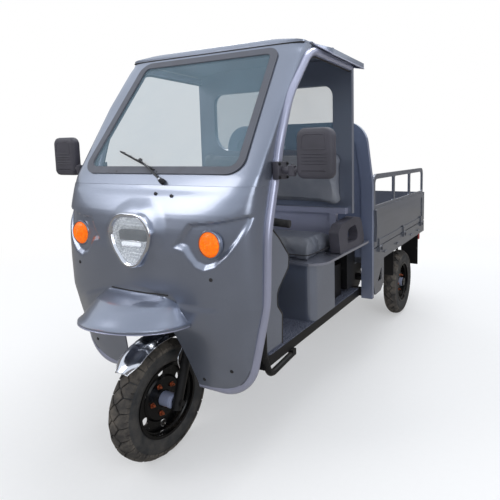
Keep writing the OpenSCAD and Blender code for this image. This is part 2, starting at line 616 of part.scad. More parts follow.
// Cross members under the floor, the second one over the flap ahead of the wheels
cross_z0 = 640;
cross_ys = [bed_y0 + 280, wheelbase - rear_tyre_r - 74, wheelbase - 24, wheelbase + rear_tyre_r + 18];
module bed_frame() color(paint) in_frame() {
    box(-bed_half, bed_half, bed_y0, bed_y1, bed_z - 6, bed_z);
    both_sides() box(bed_half - 30, bed_half, bed_y0, bed_y1, chan_z0, bed_z - 6);
    for (y = [bed_y0, bed_y1 - 30]) box(-bed_half + 30, bed_half - 30, y, y + 30, chan_z0, bed_z - 6);
    for (y = cross_ys) box(-bed_half + 30, bed_half - 30, y, y + 40, cross_z0, bed_z - 6);
    both_sides() box(spar_x0, spar_x1, bed_y0, bed_y1 - 30, spar_z1 + seat_gap, cross_z0);
    both_sides() for (y = hook_ys) rope_hook(y);
    both_sides() difference() {
        side_slab([[bed_y0, chan_z0], [bed_y0, 470], [1225, 400], [1330, 400], [1393, 440], [1393, chan_z0]],
            [0, 10, 10, 20, 10, 0], bed_half - 8, bed_half);
        side_slab([[1270, 470], [1350, 470], [1350, 560]], [8, 8, 8], bed_half - 20, bed_half + 5);
    }
    both_sides() for (y = hinge_ys) hinge_ears([bed_half + hinge_out, y, hinge_z], 0);
    for (x = hinge_xs) hinge_ears([x, bed_y1 + hinge_out, hinge_z], 90);
}
// A rope hook on the side channel: a short bar on two stubs
hook_ys = [bed_y0 + 210, bed_y0 + 480, bed_y0 + 860, bed_y0 + 1080];
hook_r = 4;
module rope_hook(y) {
    x = bed_half + 8;
    rod([x, y - 32, 640], [x, y + 32, 640], hook_r);
    for (s = [-1, 1]) rod([bed_half - 2, y + s * 24, 640], [x, y + s * 24, 640], hook_r - 1);
}
// Two ears and the pin of a hinge whose line runs along Y, or across when turned
hinge_w = 40;
module hinge_ears(at, turn) {
    translate(at) rotate([0, 0, turn]) {
        rotate([90, 0, 0]) cylinder(r = hinge_pin_r, h = hinge_w + 20, center = true);
        for (s = [-1, 1]) front_slab([[-hinge_out - 1, -28], [hinge_r, -28], [hinge_r, hinge_r],
            [-hinge_r, hinge_r], [-hinge_r, -2], [-hinge_out - 1, -2]], [0, 6, 6, 6, 0, 0],
            s * (hinge_w / 2 + 6) - 5, s * (hinge_w / 2 + 6) + 5, 3);
    }
}
// The gate's knuckle on the same line, with the strap up its board
module hinge_knuckle(at, turn) {
    translate(at) rotate([0, 0, turn]) difference() {
        union() {
            rotate([90, 0, 0]) cylinder(r = hinge_r, h = hinge_w - 1, center = true);
            front_slab([[-hinge_out + 0.5, 1], [0, 1], [0, 50], [-hinge_out - 1, 50],
                [-hinge_out - 1, swing_gap], [-hinge_out + 0.5, swing_gap]], [0, 0, 3, 0, 0, 0],
                -hinge_w / 2 + 0.5, hinge_w / 2 - 0.5, 3);
        }
        rotate([90, 0, 0]) cylinder(r = hinge_pin_r + bore_gap, h = hinge_w + 2, center = true);
    }
}
module bed_headboard() color(paint) in_frame() {
    difference() {
        front_slab([[-533, 392], [533, 392], [533, 1085], [484, 1455], [-484, 1455], [-533, 1085]],
            [0, 0, 300, 140, 140, 300], 1165, 1195, 8);
        front_slab([[-463, 300], [463, 300], [463, 1080], [420, 1387], [-420, 1387], [-463, 1080]],
            [0, 0, 300, 90, 90, 300], 1160, 1200, 8);
    }
    front_slab([[-463, 640], [463, 640], [463, 1080], [420, 1387], [-420, 1387], [-463, 1080]],
        [0, 0, 300, 90, 90, 300], 1174, 1186, 8);
}
gate_y0 = 1206;
gate_y1 = bed_y1 - board_t - swing_gap;
module side_gate() color(paint) in_frame() {
    y0 = gate_y0;
    y1 = gate_y1;
    top = gate_z0 + board_h;
    guard_x = bed_half - board_t / 2;
    pane = (y1 - y0 - 38) / 3;
    difference() {
        box(board_x0, bed_half, y0, y1, gate_z0, top);
        box(bed_half - 6, bed_half + 5, y0 + 45, y1 - 45, gate_z0 + 36, top - 40);
    }
    difference() {
        side_slab(box2(y0 + 4, y1 - 4, top - 1, top + guard_h), [0, 0, 55, 55],
            guard_x - guard_t / 2, guard_x + guard_t / 2);
        for (k = [0:2]) side_slab(box2(y0 + 34 + k * pane, y0 + 4 + (k + 1) * pane, top + 16,
            top + guard_h - 30), [10, 10, k == 2 ? 30 : 14, k == 0 ? 30 : 14],
            guard_x - guard_t, guard_x + guard_t);
    }
    // The corner latch, a curved handle by the front edge
    side_slab([[y0 + 8, gate_z0 + 38], [y0 + 24, gate_z0 + 34], [y0 + 34, gate_z0 + 130], [y0 + 22, top - 4],
        [y0 + 6, top - 8], [y0 + 17, gate_z0 + 130]], [3, 6, 60, 6, 3, 70], bed_half - 1, bed_half + 12, 4);
    for (y = hinge_ys) hinge_knuckle([bed_half + hinge_out, y, hinge_z], 0);
}
module side_gate_left() side_gate();
module side_gate_right() mirror([1, 0, 0]) side_gate();
module tailgate() color(paint) in_frame() {
    difference() {
        box(-bed_half, bed_half, bed_y1 - board_t, bed_y1, gate_z0, gate_z0 + board_h);
        box(-bed_half + 60, bed_half - 60, bed_y1 - 6, bed_y1 + 5, gate_z0 + 36, gate_z0 + board_h - 40);
    }
    for (x = hinge_xs) hinge_knuckle([x, bed_y1 + hinge_out, hinge_z], 90);
}
module tail_lamps() color([0.6, 0.06, 0.05]) in_frame() both_sides()
    slab(box2(392, 500, bed_y1 - 56, bed_y1 - 2), [6, 6, 12, 12], 530, chan_z0 - seat_gap);
module flap(y, x1, z0, z1) { box(rear_half_track - tyre_w / 2 - 8, x1, y, y + 4, z0, z1); }
module rear_mudguards() color(black_steel) in_frame() both_sides() {
    flap(wheelbase + rear_tyre_r + 38, bed_half - 20, 330, chan_z0 - seat_gap);
    flap(wheelbase - rear_tyre_r - 64, bed_half - 50, 380, cross_z0 - seat_gap);
}

// Rear axle, motor and springs
axle_y = wheelbase;
module rear_axle() color(black_steel) in_frame() {
    x_end = rear_half_track - 62;
    rod([-x_end, axle_y, rear_tyre_r], [x_end, axle_y, rear_tyre_r], 30);
    rod([-95, axle_y, rear_tyre_r], [75, axle_y, rear_tyre_r], 100);
    rod([-60, axle_y - 250, rear_tyre_r + 20], [-60, axle_y - 60, rear_tyre_r], 85);
    spindle = [rear_half_track + 40, 0, 0];
    rod([0, axle_y, rear_tyre_r] - spindle, [0, axle_y, rear_tyre_r] + spindle, spindle_r);
}
leaf_r = 1500;
leaf_t = 8;
leaf_x0 = 275;
leaf_x1 = 325;
leaf_z = rear_tyre_r + 30 + seat_gap;
leaf_halves = [400, 330, 240, 150];
module leaf_springs() color(black_steel) in_frame() both_sides() {
    for (k = [0:3]) {
        r = leaf_r + k * leaf_t;
        w = asin(leaf_halves[k] / r);
        mid = [axle_y, leaf_z + 4 * leaf_t + leaf_r];
        translate([leaf_x0, 0, 0]) rotate([90, 0, 90]) linear_extrude(leaf_x1 - leaf_x0)
            polygon(concat([for (s = [-5:5]) mid + (r - 0.2) * [sin(w * s / 5), -cos(w * s / 5)]],
                [for (s = [5:-1:-5]) mid + (r + leaf_t) * [sin(w * s / 5), -cos(w * s / 5)]]));
    }
    eye_z = leaf_z + 4 * leaf_t + leaf_r - sqrt(leaf_r * leaf_r - 400 * 400);
    for (s = [-1, 1]) {
        rod([leaf_x0, axle_y + s * 396, eye_z + 4], [leaf_x1, axle_y + s * 396, eye_z + 4], 16);
        box(292, 308, axle_y + s * 396 - 12, axle_y + s * 396 + 12, eye_z, spar_z0 - seat_gap);
    }
}

// Steered parts
module steered(z0) { translate(on_axis(z0)) rotate([-rake, 0, 0]) children(); }
yoke_z = 622;
stem_r = 15;
stem_top = 20;
module fork() color(black_steel) in_frame() {
    leg_y = -fork_offset * cos(rake);
    both_sides() {
        foot = [fork_half, 0, front_tyre_r];
        rod(foot + leg_dir(-30), foot + leg_dir(250), fork_leg_r);
        rod(foot + leg_dir(240), foot + leg_dir(410), fork_leg_r - 5);
        rod([fork_half - 3, 0, front_tyre_r], [fork_half + 28, 0, front_tyre_r], 12);
    }
    steered(yoke_z) {
        translate([0, leg_y, -12]) linear_extrude(24)
            polygon(rounded(box2(-fork_half - 24, fork_half + 24, -26, 30), [24, 24, 24, 24]));
        cylinder(r = stem_r, h = (bar_z - yoke_z) / cos(rake) - stem_top);
    }
    rod([-fork_half, 0, front_tyre_r], [fork_half, 0, front_tyre_r], spindle_r);
}
function leg_dir(d) = [0, d * sin(rake), d * cos(rake)];
guard_r0 = 288;
module front_mudguard() color(chrome) in_frame() translate([0, 0, front_tyre_r]) {
    rotate([0, 90, 0]) rotate([0, 0, 122]) rotate_extrude(angle = 106) difference() {
        translate([guard_r0 - 20, -57]) square([20, 114]);
        translate([guard_r0 - 24, -54.5]) square([21.5, 109]);
    }
    both_sides() translate(leg_dir(272)) rod([55, 0, 0], [fork_half - fork_leg_r + 5 - seat_gap, 0, 0], 8);
}
module handlebar() color(plastic) in_frame() {
    c = on_axis(bar_z);
    swept_tube([[-bar_half, c[1] + 165, bar_z - 14], [-215, c[1] + 130, bar_z + 4], [-60, c[1], bar_z],
        [60, c[1], bar_z], [215, c[1] + 130, bar_z + 4], [bar_half, c[1] + 165, bar_z - 14]],
        [0, 60, 60, 60, 60, 0], bar_r, 12);
    both_sides() rod([bar_half - 125, c[1] + 165 - 35 * 125 / 173, bar_z - 14 + 18 * 125 / 173],
        [bar_half + 4, c[1] + 166, bar_z - 14.4], 17);
    steered(bar_z) difference() {
        translate([0, 0, -38]) cylinder(r = 24, h = 52);
        translate([0, 0, -50]) cylinder(r = stem_r + seat_gap, h = 50 - stem_top + seat_gap);
    }
}

// Wheels: everything turns about X through [x, y, r]
module wheel_at(x, y, r) { in_frame() translate([x, y, r]) rotate([0, 90, 0]) children(); }
module tyre(r) {
    half = tyre_w / 2;
    rotate_extrude($fn = 96) difference() {
        union() {
            translate([r - half, 0]) circle(half);
            translate([rim_r, -half + 12]) square([r - half - rim_r, tyre_w - 24]);
        }
        translate([0, -half - 1]) square([rim_r + seat_gap, tyre_w + 2]);
    }
}
// Pressed steel rim with a dished disc, round openings and a hub
module rim(hub_half, drum_r, drum_w) {
    rim_half = 44;
    difference() {
        union() {
            rotate_extrude($fn = 96) union() {
                difference() {
                    translate([rim_r - 8, -rim_half]) square([8, 2 * rim_half]);
                    translate([rim_r - 4, -20]) square([10, 40]);
                }
                translate([rim_r - 14, -24]) square([8, 48]);
            }
            translate([0, 0, -4]) cylinder(r = rim_r - 8, h = 8);
            translate([0, 0, -hub_half]) cylinder(r = 30, h = 2 * hub_half);
            translate([0, 0, -drum_w]) cylinder(r = drum_r, h = drum_w);
        }
        translate([0, 0, -hub_half - 1]) cylinder(r = spindle_r + bore_gap, h = 2 * hub_half + 2);
        for (k = [0:5]) rotate([0, 0, 60 * k]) translate([112, 0, -60]) cylinder(r = 17, h = 120);
    }
}
front_hub_half = fork_half - fork_leg_r - swing_gap;
module front_tyre() color(rubber) wheel_at(0, 0, front_tyre_r) tyre(front_tyre_r);
module front_rim() color(black_steel) wheel_at(0, 0, front_tyre_r) rim(front_hub_half, 70, 40);
module rear_tyre_left() color(rubber) wheel_at(rear_half_track, wheelbase, rear_tyre_r) tyre(rear_tyre_r);
module rear_tyre_right() color(rubber) wheel_at(-rear_half_track, wheelbase, rear_tyre_r) tyre(rear_tyre_r);
module rear_rim_left() color(black_steel) wheel_at(rear_half_track, wheelbase, rear_tyre_r) rim(50, 90, 48);
module rear_rim_right() color(black_steel) mirror([1, 0, 0])
    wheel_at(rear_half_track, wheelbase, rear_tyre_r) rim(50, 90, 48);

main_frame();
step_bars();
floor_pan();
front_fairing();
screen_surround();
roof_panel();
cab_hoop_left();
cab_hoop_right();
windscreen();
windscreen_gasket();
wiper();
headlight_bezel();
headlight_lens();
turn_signals();
wheel_visor();
mirrors();
leg_shield();
instrument();
battery_box();
seat_deck();
seat_cushion();
backrest_pad();
seat_back_frame();
armrests();
rear_wall();
rear_glass();
controller_block();
bed_frame();
bed_headboard();
rear_mudguards();
tail_lamps();
rear_axle();
leaf_springs();
fork();
front_mudguard();
handlebar();
front_tyre();
front_rim();
rear_tyre_left();
rear_rim_left();
rear_tyre_right();
rear_rim_right();
side_gate_left();
side_gate_right();
tailgate();
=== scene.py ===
import math
import re

import bmesh
import bpy
import numpy as np
from mathutils import Matrix, Vector


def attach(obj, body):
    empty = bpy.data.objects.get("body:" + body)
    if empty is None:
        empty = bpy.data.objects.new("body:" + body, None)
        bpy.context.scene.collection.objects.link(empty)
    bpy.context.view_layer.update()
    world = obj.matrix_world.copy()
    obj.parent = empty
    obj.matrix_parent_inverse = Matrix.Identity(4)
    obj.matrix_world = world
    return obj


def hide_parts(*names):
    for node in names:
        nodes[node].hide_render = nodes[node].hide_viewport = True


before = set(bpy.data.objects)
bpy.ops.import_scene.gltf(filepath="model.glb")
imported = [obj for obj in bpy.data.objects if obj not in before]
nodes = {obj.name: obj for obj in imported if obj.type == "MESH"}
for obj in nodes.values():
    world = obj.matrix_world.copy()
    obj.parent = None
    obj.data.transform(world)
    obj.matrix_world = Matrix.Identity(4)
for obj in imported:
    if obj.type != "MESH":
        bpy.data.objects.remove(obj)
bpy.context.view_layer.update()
scene = bpy.context.scene
axleShift = 1107.5
print("frame loaded:", len(nodes), "nodes")


def spot(points):
    a = np.array(points, float)
    a[..., 1] -= axleShift
    return a / 1000


# The camera stands where the photograph was taken from
camera = dict(place=(1.40924, -2.42796, 1.26367), yaw=25.87, pitch=6.23, roll=-0.65, lens=32.2, shift=(-0.144,
    -0.0935))


def makeCamera(c):
    data = bpy.data.cameras.new("viewpoint")
    eye = bpy.data.objects.new("viewpoint", data)
    scene.collection.objects.link(eye)
    yaw, pitch, roll = (math.radians(c[k]) for k in ("yaw", "pitch", "roll"))
    ahead = Vector((-math.sin(yaw) * math.cos(pitch), math.cos(yaw) * math.cos(pitch), -math.sin(pitch)))
    turn = ahead.to_track_quat("-Z", "Y").to_matrix()
    eye.matrix_world = Matrix.Translation(c["place"]) @ (turn @ Matrix.Rotation(roll, 3, "Z")).to_4x4()
    data.lens, data.sensor_width = c["lens"], 36
    data.shift_x, data.shift_y = c["shift"]
    data.clip_end = 100
    scene.camera = eye


makeCamera(camera)
scene.view_settings.view_transform = "Standard"


class Wire:
    # one output socket of a finish; sums and products of wires add Math nodes
    def __init__(self, shop, socket):
        self.shop, self.socket = shop, socket

    def math(self, how, *rest):
        return self.shop.node("ShaderNodeMath", {"operation": how}, [self, *rest])

    def turned(self, how, first):
        return self.shop.node("ShaderNodeMath", {"operation": how}, [first, self])

    def __add__(self, other):
        return self.math("ADD", other)

    def __radd__(self, other):
        return self.turned("ADD", other)

    def __sub__(self, other):
        return self.math("SUBTRACT", other)

    def __rsub__(self, other):
        return self.turned("SUBTRACT", other)

    def __mul__(self, other):
        return self.math("MULTIPLY", other)

    def __rmul__(self, other):
        return self.turned("MULTIPLY", other)

    def __truediv__(self, other):
        return self.math("DIVIDE", other)

    def __rtruediv__(self, other):
        return self.turned("DIVIDE", other)

    def __pow__(self, other):
        return self.math("POWER", other)

    def between(self, low, high, first=0.0, last=1.0):
        return self.shop.node("ShaderNodeMapRange", {"interpolation_type": "SMOOTHSTEP"}, [self, low, high, first,
            last])


class Finish:
    # one material; node() makes any node: its settings first, then socket values or links
    def __init__(self, name):
        self.material = bpy.data.materials.new(name)
        self.material.use_nodes = True
        self.tree = self.material.node_tree
        self.tree.nodes.clear()
        self.place = self.node("ShaderNodeTexCoord", {}, [], "Object")

    def node(self, kind, settings, sockets, output=0):
        made = self.tree.nodes.new(kind)
        for key, value in settings.items():
            setattr(made, key, value)
        for key, value in sockets.items() if isinstance(sockets, dict) else enumerate(sockets):
            if isinstance(value, Wire):
                self.tree.links.new(value.socket, made.inputs[key])
            else:
                made.inputs[key].default_value = value
        return Wire(self, made.outputs[output]) if len(made.outputs) else None

    def noise(self, scale, detail=2.0, rough=0.5, place=None, warp=0.0):
        return self.node("ShaderNodeTexNoise", {}, {"Vector": place or self.place, "Scale": scale, "Detail": detail,
            "Roughness": rough, "Distortion": warp})

    def cells(self, scale, place=None, feature="F1"):
        return self.node("ShaderNodeTexVoronoi", {"feature": feature}, {"Vector": place or self.place,
            "Scale": scale})

    def stretched(self, x, y, z):
        return self.node("ShaderNodeMapping", {}, {"Vector": self.place, "Scale": (x, y, z)})

    def axis(self, k, place=None):
        return self.node("ShaderNodeSeparateXYZ", {}, [place or self.place], k)

    def mix(self, factor, a, b, how="MIX"):
        return self.node("ShaderNodeMix", {"data_type": "RGBA", "blend_type": how}, {0: factor, 6: a, 7: b}, 2)

    def bump(self, height, strength, distance):
        return self.node("ShaderNodeBump", {}, {"Strength": strength, "Distance": distance, "Height": height})

    def surface(self, **sockets):
        words = lambda key: re.sub(r"(?<=[a-z])(?=[A-Z])|(?<=[A-Z])(?=[A-Z][a-z])", " ", key[0].upper() + key[1:])
        shader = self.node("ShaderNodeBsdfPrincipled", {}, {words(k): v for k, v in sockets.items()})
        self.node("ShaderNodeOutputMaterial", {}, [shader])
        return self.material


def shade(r, g, b, dim=1.0):
    # a colour as the eye reads it, 0 to 255, turned to what a shader wants
    return tuple((c / 255 / 12.92 if c < 11 else ((c / 255 + 0.055) / 1.055) ** 2.4) * dim for c in (r, g,
        b)) + (1.0,)


def paintFinish(name, colour, metal=0.6, rough=0.3, dust=0.25, streak=0.0):
    # metallic paint under a clear coat: broad cloudiness, flakes, orange peel, and low down a warm grey that is
    # patchy road dust together with a painted reflection of the ground
    f = Finish(name)
    broad = f.noise(3.1, 3)
    flake = f.cells(1400).between(0.12, 0.6)
    peel = f.noise(260, 2)
    tone = f.mix(broad.between(0.3, 0.7), shade(*colour, 0.9), shade(*colour, 1.1))
    tone = f.mix(flake * 0.16, tone, shade(225, 228, 238))
    # painted reflection: low down the paint turns the warm grey of the ground reflected in it, in dust-like patches;
    # dust sets how strong both the dust and this painted reflection are
    low = 1 - f.axis(2).between(0.28, 0.75)
    dust_and_ground_reflection = low * f.noise(14, 5, 0.65).between(0.35, 0.75) * dust
    tone = f.mix(dust_and_ground_reflection, tone, shade(126, 116, 104))
    lines = f.noise(6, 4, 0.6, f.stretched(1, 0.12, 9)) * streak if streak else 0.0
    return f.surface(baseColor=tone, metallic=metal - dust_and_ground_reflection * 0.6,
        roughness=rough + broad * 0.08 + dust_and_ground_reflection * 0.35 + lines,
        coatWeight=0.75 - dust_and_ground_reflection * 0.6, coatRoughness=0.07, normal=f.bump(peel, 0.035, 0.001))


def steelFinish(name, colour, rough=0.38, metal=0.3, dust=0.5):
    # black powder coat: fine grain, scuffs that catch the light, dust on what faces up
    f = Finish(name)
    grain = f.noise(700, 3, 0.7)
    scuff = f.noise(9, 6, 0.7, warp=0.6).between(0.58, 0.72)
    up = f.node("ShaderNodeNewGeometry", {}, [], "Normal")
    lie = f.axis(2, up).between(0.3, 1.0) * f.noise(22, 5, 0.6).between(0.3, 0.8) * dust
    tone = f.mix(scuff * 0.35, shade(*colour), shade(92, 90, 90))
    tone = f.mix(lie, tone, shade(122, 112, 100))
    return f.surface(baseColor=tone, metallic=metal, roughness=rough + grain * 0.12 + lie * 0.35,
        normal=f.bump(grain, 0.12, 0.0012))


def plasticFinish(name, colour, grainScale=900, rough=0.5, depth=0.25):
    # moulded plastic: leather-like grain, slight fade in broad patches
    f = Finish(name)
    grain = f.cells(grainScale).between(0.1, 0.7)
    fade = f.noise(7, 4)
    tone = f.mix(fade.between(0.3, 0.75), shade(*colour, 0.86), shade(*colour, 1.16))
    return f.surface(baseColor=tone, roughness=rough + fade * 0.14 - grain * 0.06, normal=f.bump(grain, depth,
        0.0007))


def rubberFinish(name, colour, dusty, rough=0.72):
    f = Finish(name)
    grain = f.noise(420, 4, 0.65)
    patch = f.noise(16, 5, 0.65).between(0.35, 0.72)
    tone = f.mix(patch * dusty, shade(*colour), shade(112, 104, 94))
    tone = f.mix(grain.between(0.45, 0.8) * 0.3, tone, shade(*colour, 0.5))
    return f.surface(baseColor=tone, roughness=rough + patch * 0.16, normal=f.bump(grain, 0.3, 0.0008))


def chromeFinish(name, colour, rough=0.06, smear=0.16):
    f = Finish(name)
    film = f.noise(11, 5, 0.6, warp=0.4).between(0.35, 0.8)
    hair = f.noise(30, 3, 0.6, f.stretched(1, 14, 3))
    tone = f.mix(film * 0.35, shade(*colour), shade(*colour, 0.72))
    return f.surface(baseColor=tone, metallic=1.0, roughness=rough + film * smear + hair * 0.04,
        normal=f.bump(hair, 0.02, 0.0006))


def glassFinish(name, colour, alpha, rough=0.03):
    # pane with a faint film of dust
    f = Finish(name)
    film = f.noise(5, 5, 0.6).between(0.35, 0.8)
    tone = f.mix(film, shade(*colour), shade(*colour, 1.15))
    return f.surface(baseColor=tone, roughness=rough + film * 0.05, alpha=alpha + film * 0.03, specularIORLevel=0.6)


def lensFinish(name, colour, deep, scale):
    # coloured lens: prisms moulded on its inside show as cells
    f = Finish(name)
    prism = f.cells(scale)
    tone = f.mix(prism.between(0.0, 0.75), shade(*colour), shade(*deep))
    return f.surface(baseColor=tone, roughness=0.22 + prism * 0.1, coatWeight=0.25, coatRoughness=0.04,
        specularIORLevel=0.25, emissionColor=tone, emissionStrength=0.3,
        normal=f.bump(prism, 0.35, 0.0016))


def vinylFinish(name, colour, warm):
    # coated seat fabric: fine pebble grain over a soft crease pattern, lighter in broad worn patches
    f = Finish(name)
    pebble = f.cells(620)
    crease = f.noise(46, 5, 0.6, warp=0.8)
    worn = f.noise(4.5, 3).between(0.35, 0.7)
    tone = f.mix(worn, shade(*colour), shade(*warm))
    tone = f.mix(pebble.between(0.3, 0.75) * 0.35, tone, shade(*colour, 0.62))
    return f.surface(baseColor=tone, roughness=0.5 + pebble * 0.12 - worn * 0.06, coatWeight=0.12,
        coatRoughness=0.35,
        normal=f.bump(pebble * 0.6 + crease * 0.8, 0.22, 0.0012))


def matFinish(name):
    # speckled carpet of the cab floor
    f = Finish(name)
    tuft = f.cells(330)
    fleck = f.noise(190, 3, 0.75)
    tone = f.mix(fleck.between(0.4, 0.62), shade(42, 48, 66), shade(120, 124, 140))
    tone = f.mix(f.noise(60, 3).between(0.55, 0.75), tone, shade(30, 32, 44))
    return f.surface(baseColor=tone, roughness=0.92, normal=f.bump(tuft + fleck, 0.8, 0.003))


def reflectorFinish(name):
    # bright bowl inside the lamp: rows of little facets, with a faint painted glow against the shade inside the lamp
    f = Finish(name)
    facet = f.cells(150)
    tone = f.mix(facet.between(0.1, 0.7), shade(244, 246, 250), shade(176, 180, 186))
    # painted light: the emission keeps the bowl bright where the lamp's own housing shades it
    return f.surface(baseColor=tone, metallic=0.45, roughness=0.16 + facet * 0.12, emissionColor=tone,
        emissionStrength=0.22,
        normal=f.bump(facet, 0.3, 0.003))


def glowFinish(name, colour, strength):
    f = Finish(name)
    grain = f.cells(500)
    tone = f.mix(grain, shade(*colour), shade(*colour, 0.7))
    return f.surface(baseColor=tone, roughness=0.25 + grain * 0.1, emissionColor=tone, emissionStrength=strength)


finishes = dict(
    cabPaint=paintFinish("cab paint", (122, 130, 148), metal=0.8, rough=0.26, dust=0.12),
    bedPaint=paintFinish("bed paint", (84, 88, 98), metal=0.66, rough=0.26, dust=0.5, streak=0.12),
    railPaint=paintFinish("rail paint", (50, 53, 62), metal=0.5, rough=0.28, dust=0.35),
    archPaint=paintFinish("arch paint", (92, 104, 134), metal=0.45, rough=0.34, dust=0.3),
    tubePaint=paintFinish("tube paint", (158, 160, 184), metal=0.55, rough=0.26, dust=0.1),
    deckPaint=paintFinish("deck paint", (140, 142, 156), metal=0.75, rough=0.24, dust=0.1),
    blackSteel=steelFinish("black steel", (21, 21, 23), dust=0.25),
    rimBlack=steelFinish("rim black", (16, 16, 17), rough=0.14, metal=0.5, dust=0.25),
    plastic=plasticFinish("grey plastic", (62, 60, 68)),
    darkPlastic=plasticFinish("dark plastic", (44, 43, 46), rough=0.42),
    gasket=rubberFinish("screen gasket", (84, 87, 97), 0.12, 0.55),
    tyre=rubberFinish("tyre rubber", (52, 49, 47), 0.75),
    sidewall=rubberFinish("sidewall rubber", (38, 40, 43), 0.3, 0.55),
    seal=rubberFinish("door seal", (30, 30, 33), 0.2, 0.6),
    mat=matFinish("floor mat"),
    seat=vinylFinish("seat cover", (98, 102, 112), (122, 124, 130)),
    chrome=chromeFinish("chrome", (226, 228, 234)),
    hub=paintFinish("hub casting", (132, 142, 172), metal=0.2, rough=0.4),
    brass=chromeFinish("plated nuts", (198, 150, 96), 0.28, 0.25),
    copper=chromeFinish("copper nuts", (196, 118, 86), 0.34, 0.3),
    glass=glassFinish("window glass", (116, 142, 156), 0.3),
    lampGlass=glassFinish("lamp glass", (226, 232, 238), 0.1, 0.02),
    amber=lensFinish("amber lens", (255, 142, 0), (248, 98, 0), 260),
    red=lensFinish("red lens", (170, 20, 16), (96, 6, 6), 220),
    reflector=reflectorFinish("lamp reflector with painted glow"),
    led=glowFinish("lamp strip", (240, 244, 250), 0.5),
    mirrorGlass=chromeFinish("mirror glass", (214, 220, 228), 0.02, 0.03),
    display=glassFinish("display glass", (12, 14, 18), 0.94, 0.08),
)
print("finishes made:", len(finishes))


def dress(obj, finish):
    if obj.material_slots:
        for holder in obj.material_slots:
            holder.material = finishes[finish]
    else:
        obj.data.materials.append(finishes[finish])


wears = dict(
    cabPaint="front_fairing screen_surround roof_panel wheel_visor leg_shield battery_box rear_wall",
    tubePaint="cab_hoop_left cab_hoop_right seat_back_frame",
    deckPaint="seat_deck",
    archPaint="bed_headboard",
    bedPaint="bed_frame side_gate_left side_gate_right tailgate",
    blackSteel="main_frame step_bars controller_block rear_axle leaf_springs fork rear_mudguards",
    rimBlack="front_rim rear_rim_left rear_rim_right",
    darkPlastic="wiper instrument handlebar",
    plastic="mirrors armrests",
    gasket="windscreen_gasket",
    tyre="front_tyre rear_tyre_left rear_tyre_right",
    mat="floor_pan",
    seat="seat_cushion backrest_pad",
    chrome="headlight_bezel front_mudguard",
    glass="windscreen rear_glass",
    lampGlass="headlight_lens",
    amber="turn_signals",
    red="tail_lamps",
)
for finish, names in wears.items():
    for name in names.split():
        dress(nodes[name], finish)


def unit(v):
    return np.asarray(v, float) / max(np.linalg.norm(v), 1e-9)


def rounded(corners, radii, steps=6):
    # outline whose corners are arcs, the same rule as the frame's plates
    out, n = [], len(corners)
    c = [np.array(p, float) for p in corners]
    for i, r in enumerate(radii):
        u, v = unit(c[i - 1] - c[i]), unit(c[(i + 1) % n] - c[i])
        half = math.acos(max(-1, min(1, float(u @ v)))) / 2
        if r <= 0:
            out.append(c[i])
            continue
        mid = c[i] + unit(u + v) * r / math.sin(half)
        a, b = c[i] + u * r / math.tan(half) - mid, c[i] + v * r / math.tan(half) - mid
        side = math.copysign(1, a[0] * b[1] - a[1] * b[0])
        for s in range(steps + 1):
            w = side * (math.pi - 2 * half) * s / steps
            out.append(mid + (a[0] * math.cos(w) - a[1] * math.sin(w), a[0] * math.sin(w) + a[1] * math.cos(w)))
    return np.array(out)


def bentLine(corners, bends, step=4.0):
    c = [np.array(p, float) for p in corners]
    out = [c[0]]
    for i in range(1, len(c) - 1):
        a, b = unit(c[i] - c[i - 1]), unit(c[i + 1] - c[i])
        w = math.acos(max(-1, min(1, float(a @ b))))
        if w < 1e-4 or bends[i] == 0:
            out.append(c[i])
            continue
        aside = np.cross(a, unit(np.cross(a, b)))
        mid = c[i] - a * bends[i] * math.tan(w / 2) - aside * bends[i]
        steps = max(2, math.ceil(math.degrees(w) / step))
        out += [mid + bends[i] * (aside * math.cos(w * s / steps) + a * math.sin(w * s / steps)) for s in range(steps + 1)]
    return np.array(out + [c[-1]])


def insetLine(outline, d):
    # a closed outline moved inwards by d along its own normals
    o = np.asarray(outline, float)
    before, after = o - np.roll(o, 1, 0), np.roll(o, -1, 0) - o
    keep = lambda v: v / np.maximum(np.linalg.norm(v, axis=1, keepdims=True), 1e-6)
    along = keep(keep(before) + keep(after))
    area = 0.5 * np.sum(o[:, 0] * np.roll(o[:, 1], -1) - np.roll(o[:, 0], -1) * o[:, 1])
    return o + math.copysign(1, area) * d * np.stack([-along[:, 1], along[:, 0]], 1)


def ringFaces(rings, size, closed=True, loop=False):
    faces = []
    for i in range(rings if loop else rings - 1):
        for j in range(size if closed else size - 1):
            a, b = i * size + j, i * size + (j + 1) % size
            c, d = ((i + 1) % rings) * size + (j + 1) % size, ((i + 1) % rings) * size + j
            faces.append((a, b, c, d))
    return faces


def loft(rings, caps=True, loop=False):
    size = len(rings[0])
    faces = ringFaces(len(rings), size, True, loop)
    if caps and not loop:
        faces += [tuple(range(size - 1, -1, -1)), tuple(range((len(rings) - 1) * size, len(rings) * size))]
    return np.concatenate([np.asarray(r, float) for r in rings]), faces


def sweep(line, section, closed=False, sizes=None, up=(0.31, 0.27, 0.91)):
    # a section of (sideways, upwards) points carried along a line without twist
    line = np.asarray(line, float)
    n = len(line)
    ahead = np.array([unit(line[(i + 1) % n] - line[i - 1]) if closed or 0 < i < n - 1
        else unit(line[min(i + 1, n - 1)] - line[max(i - 1, 0)]) for i in range(n)])
    u, rings = np.array(up, float), []
    for i in range(n):
        u = unit(u - (u @ ahead[i]) * ahead[i])
        v = np.cross(ahead[i], u)
        k = 1 if sizes is None else sizes[i]
        rings.append([line[i] + k * (s[0] * v + s[1] * u) for s in section])
    return loft(rings, not closed, closed)


def circle(r, sides=16):
    return [(r * math.cos(2 * math.pi * k / sides), r * math.sin(2 * math.pi * k / sides)) for k in range(sides)]


def rod(a, b, r, sides=20, edge=1.0):
    # a round bar with its ends broken
    a, b = np.array(a, float), np.array(b, float)
    d = unit(b - a) * edge
    return sweep([a, a + d, b - d, b], circle(r, sides), sizes=[1 - edge / r, 1, 1, 1 - edge / r])


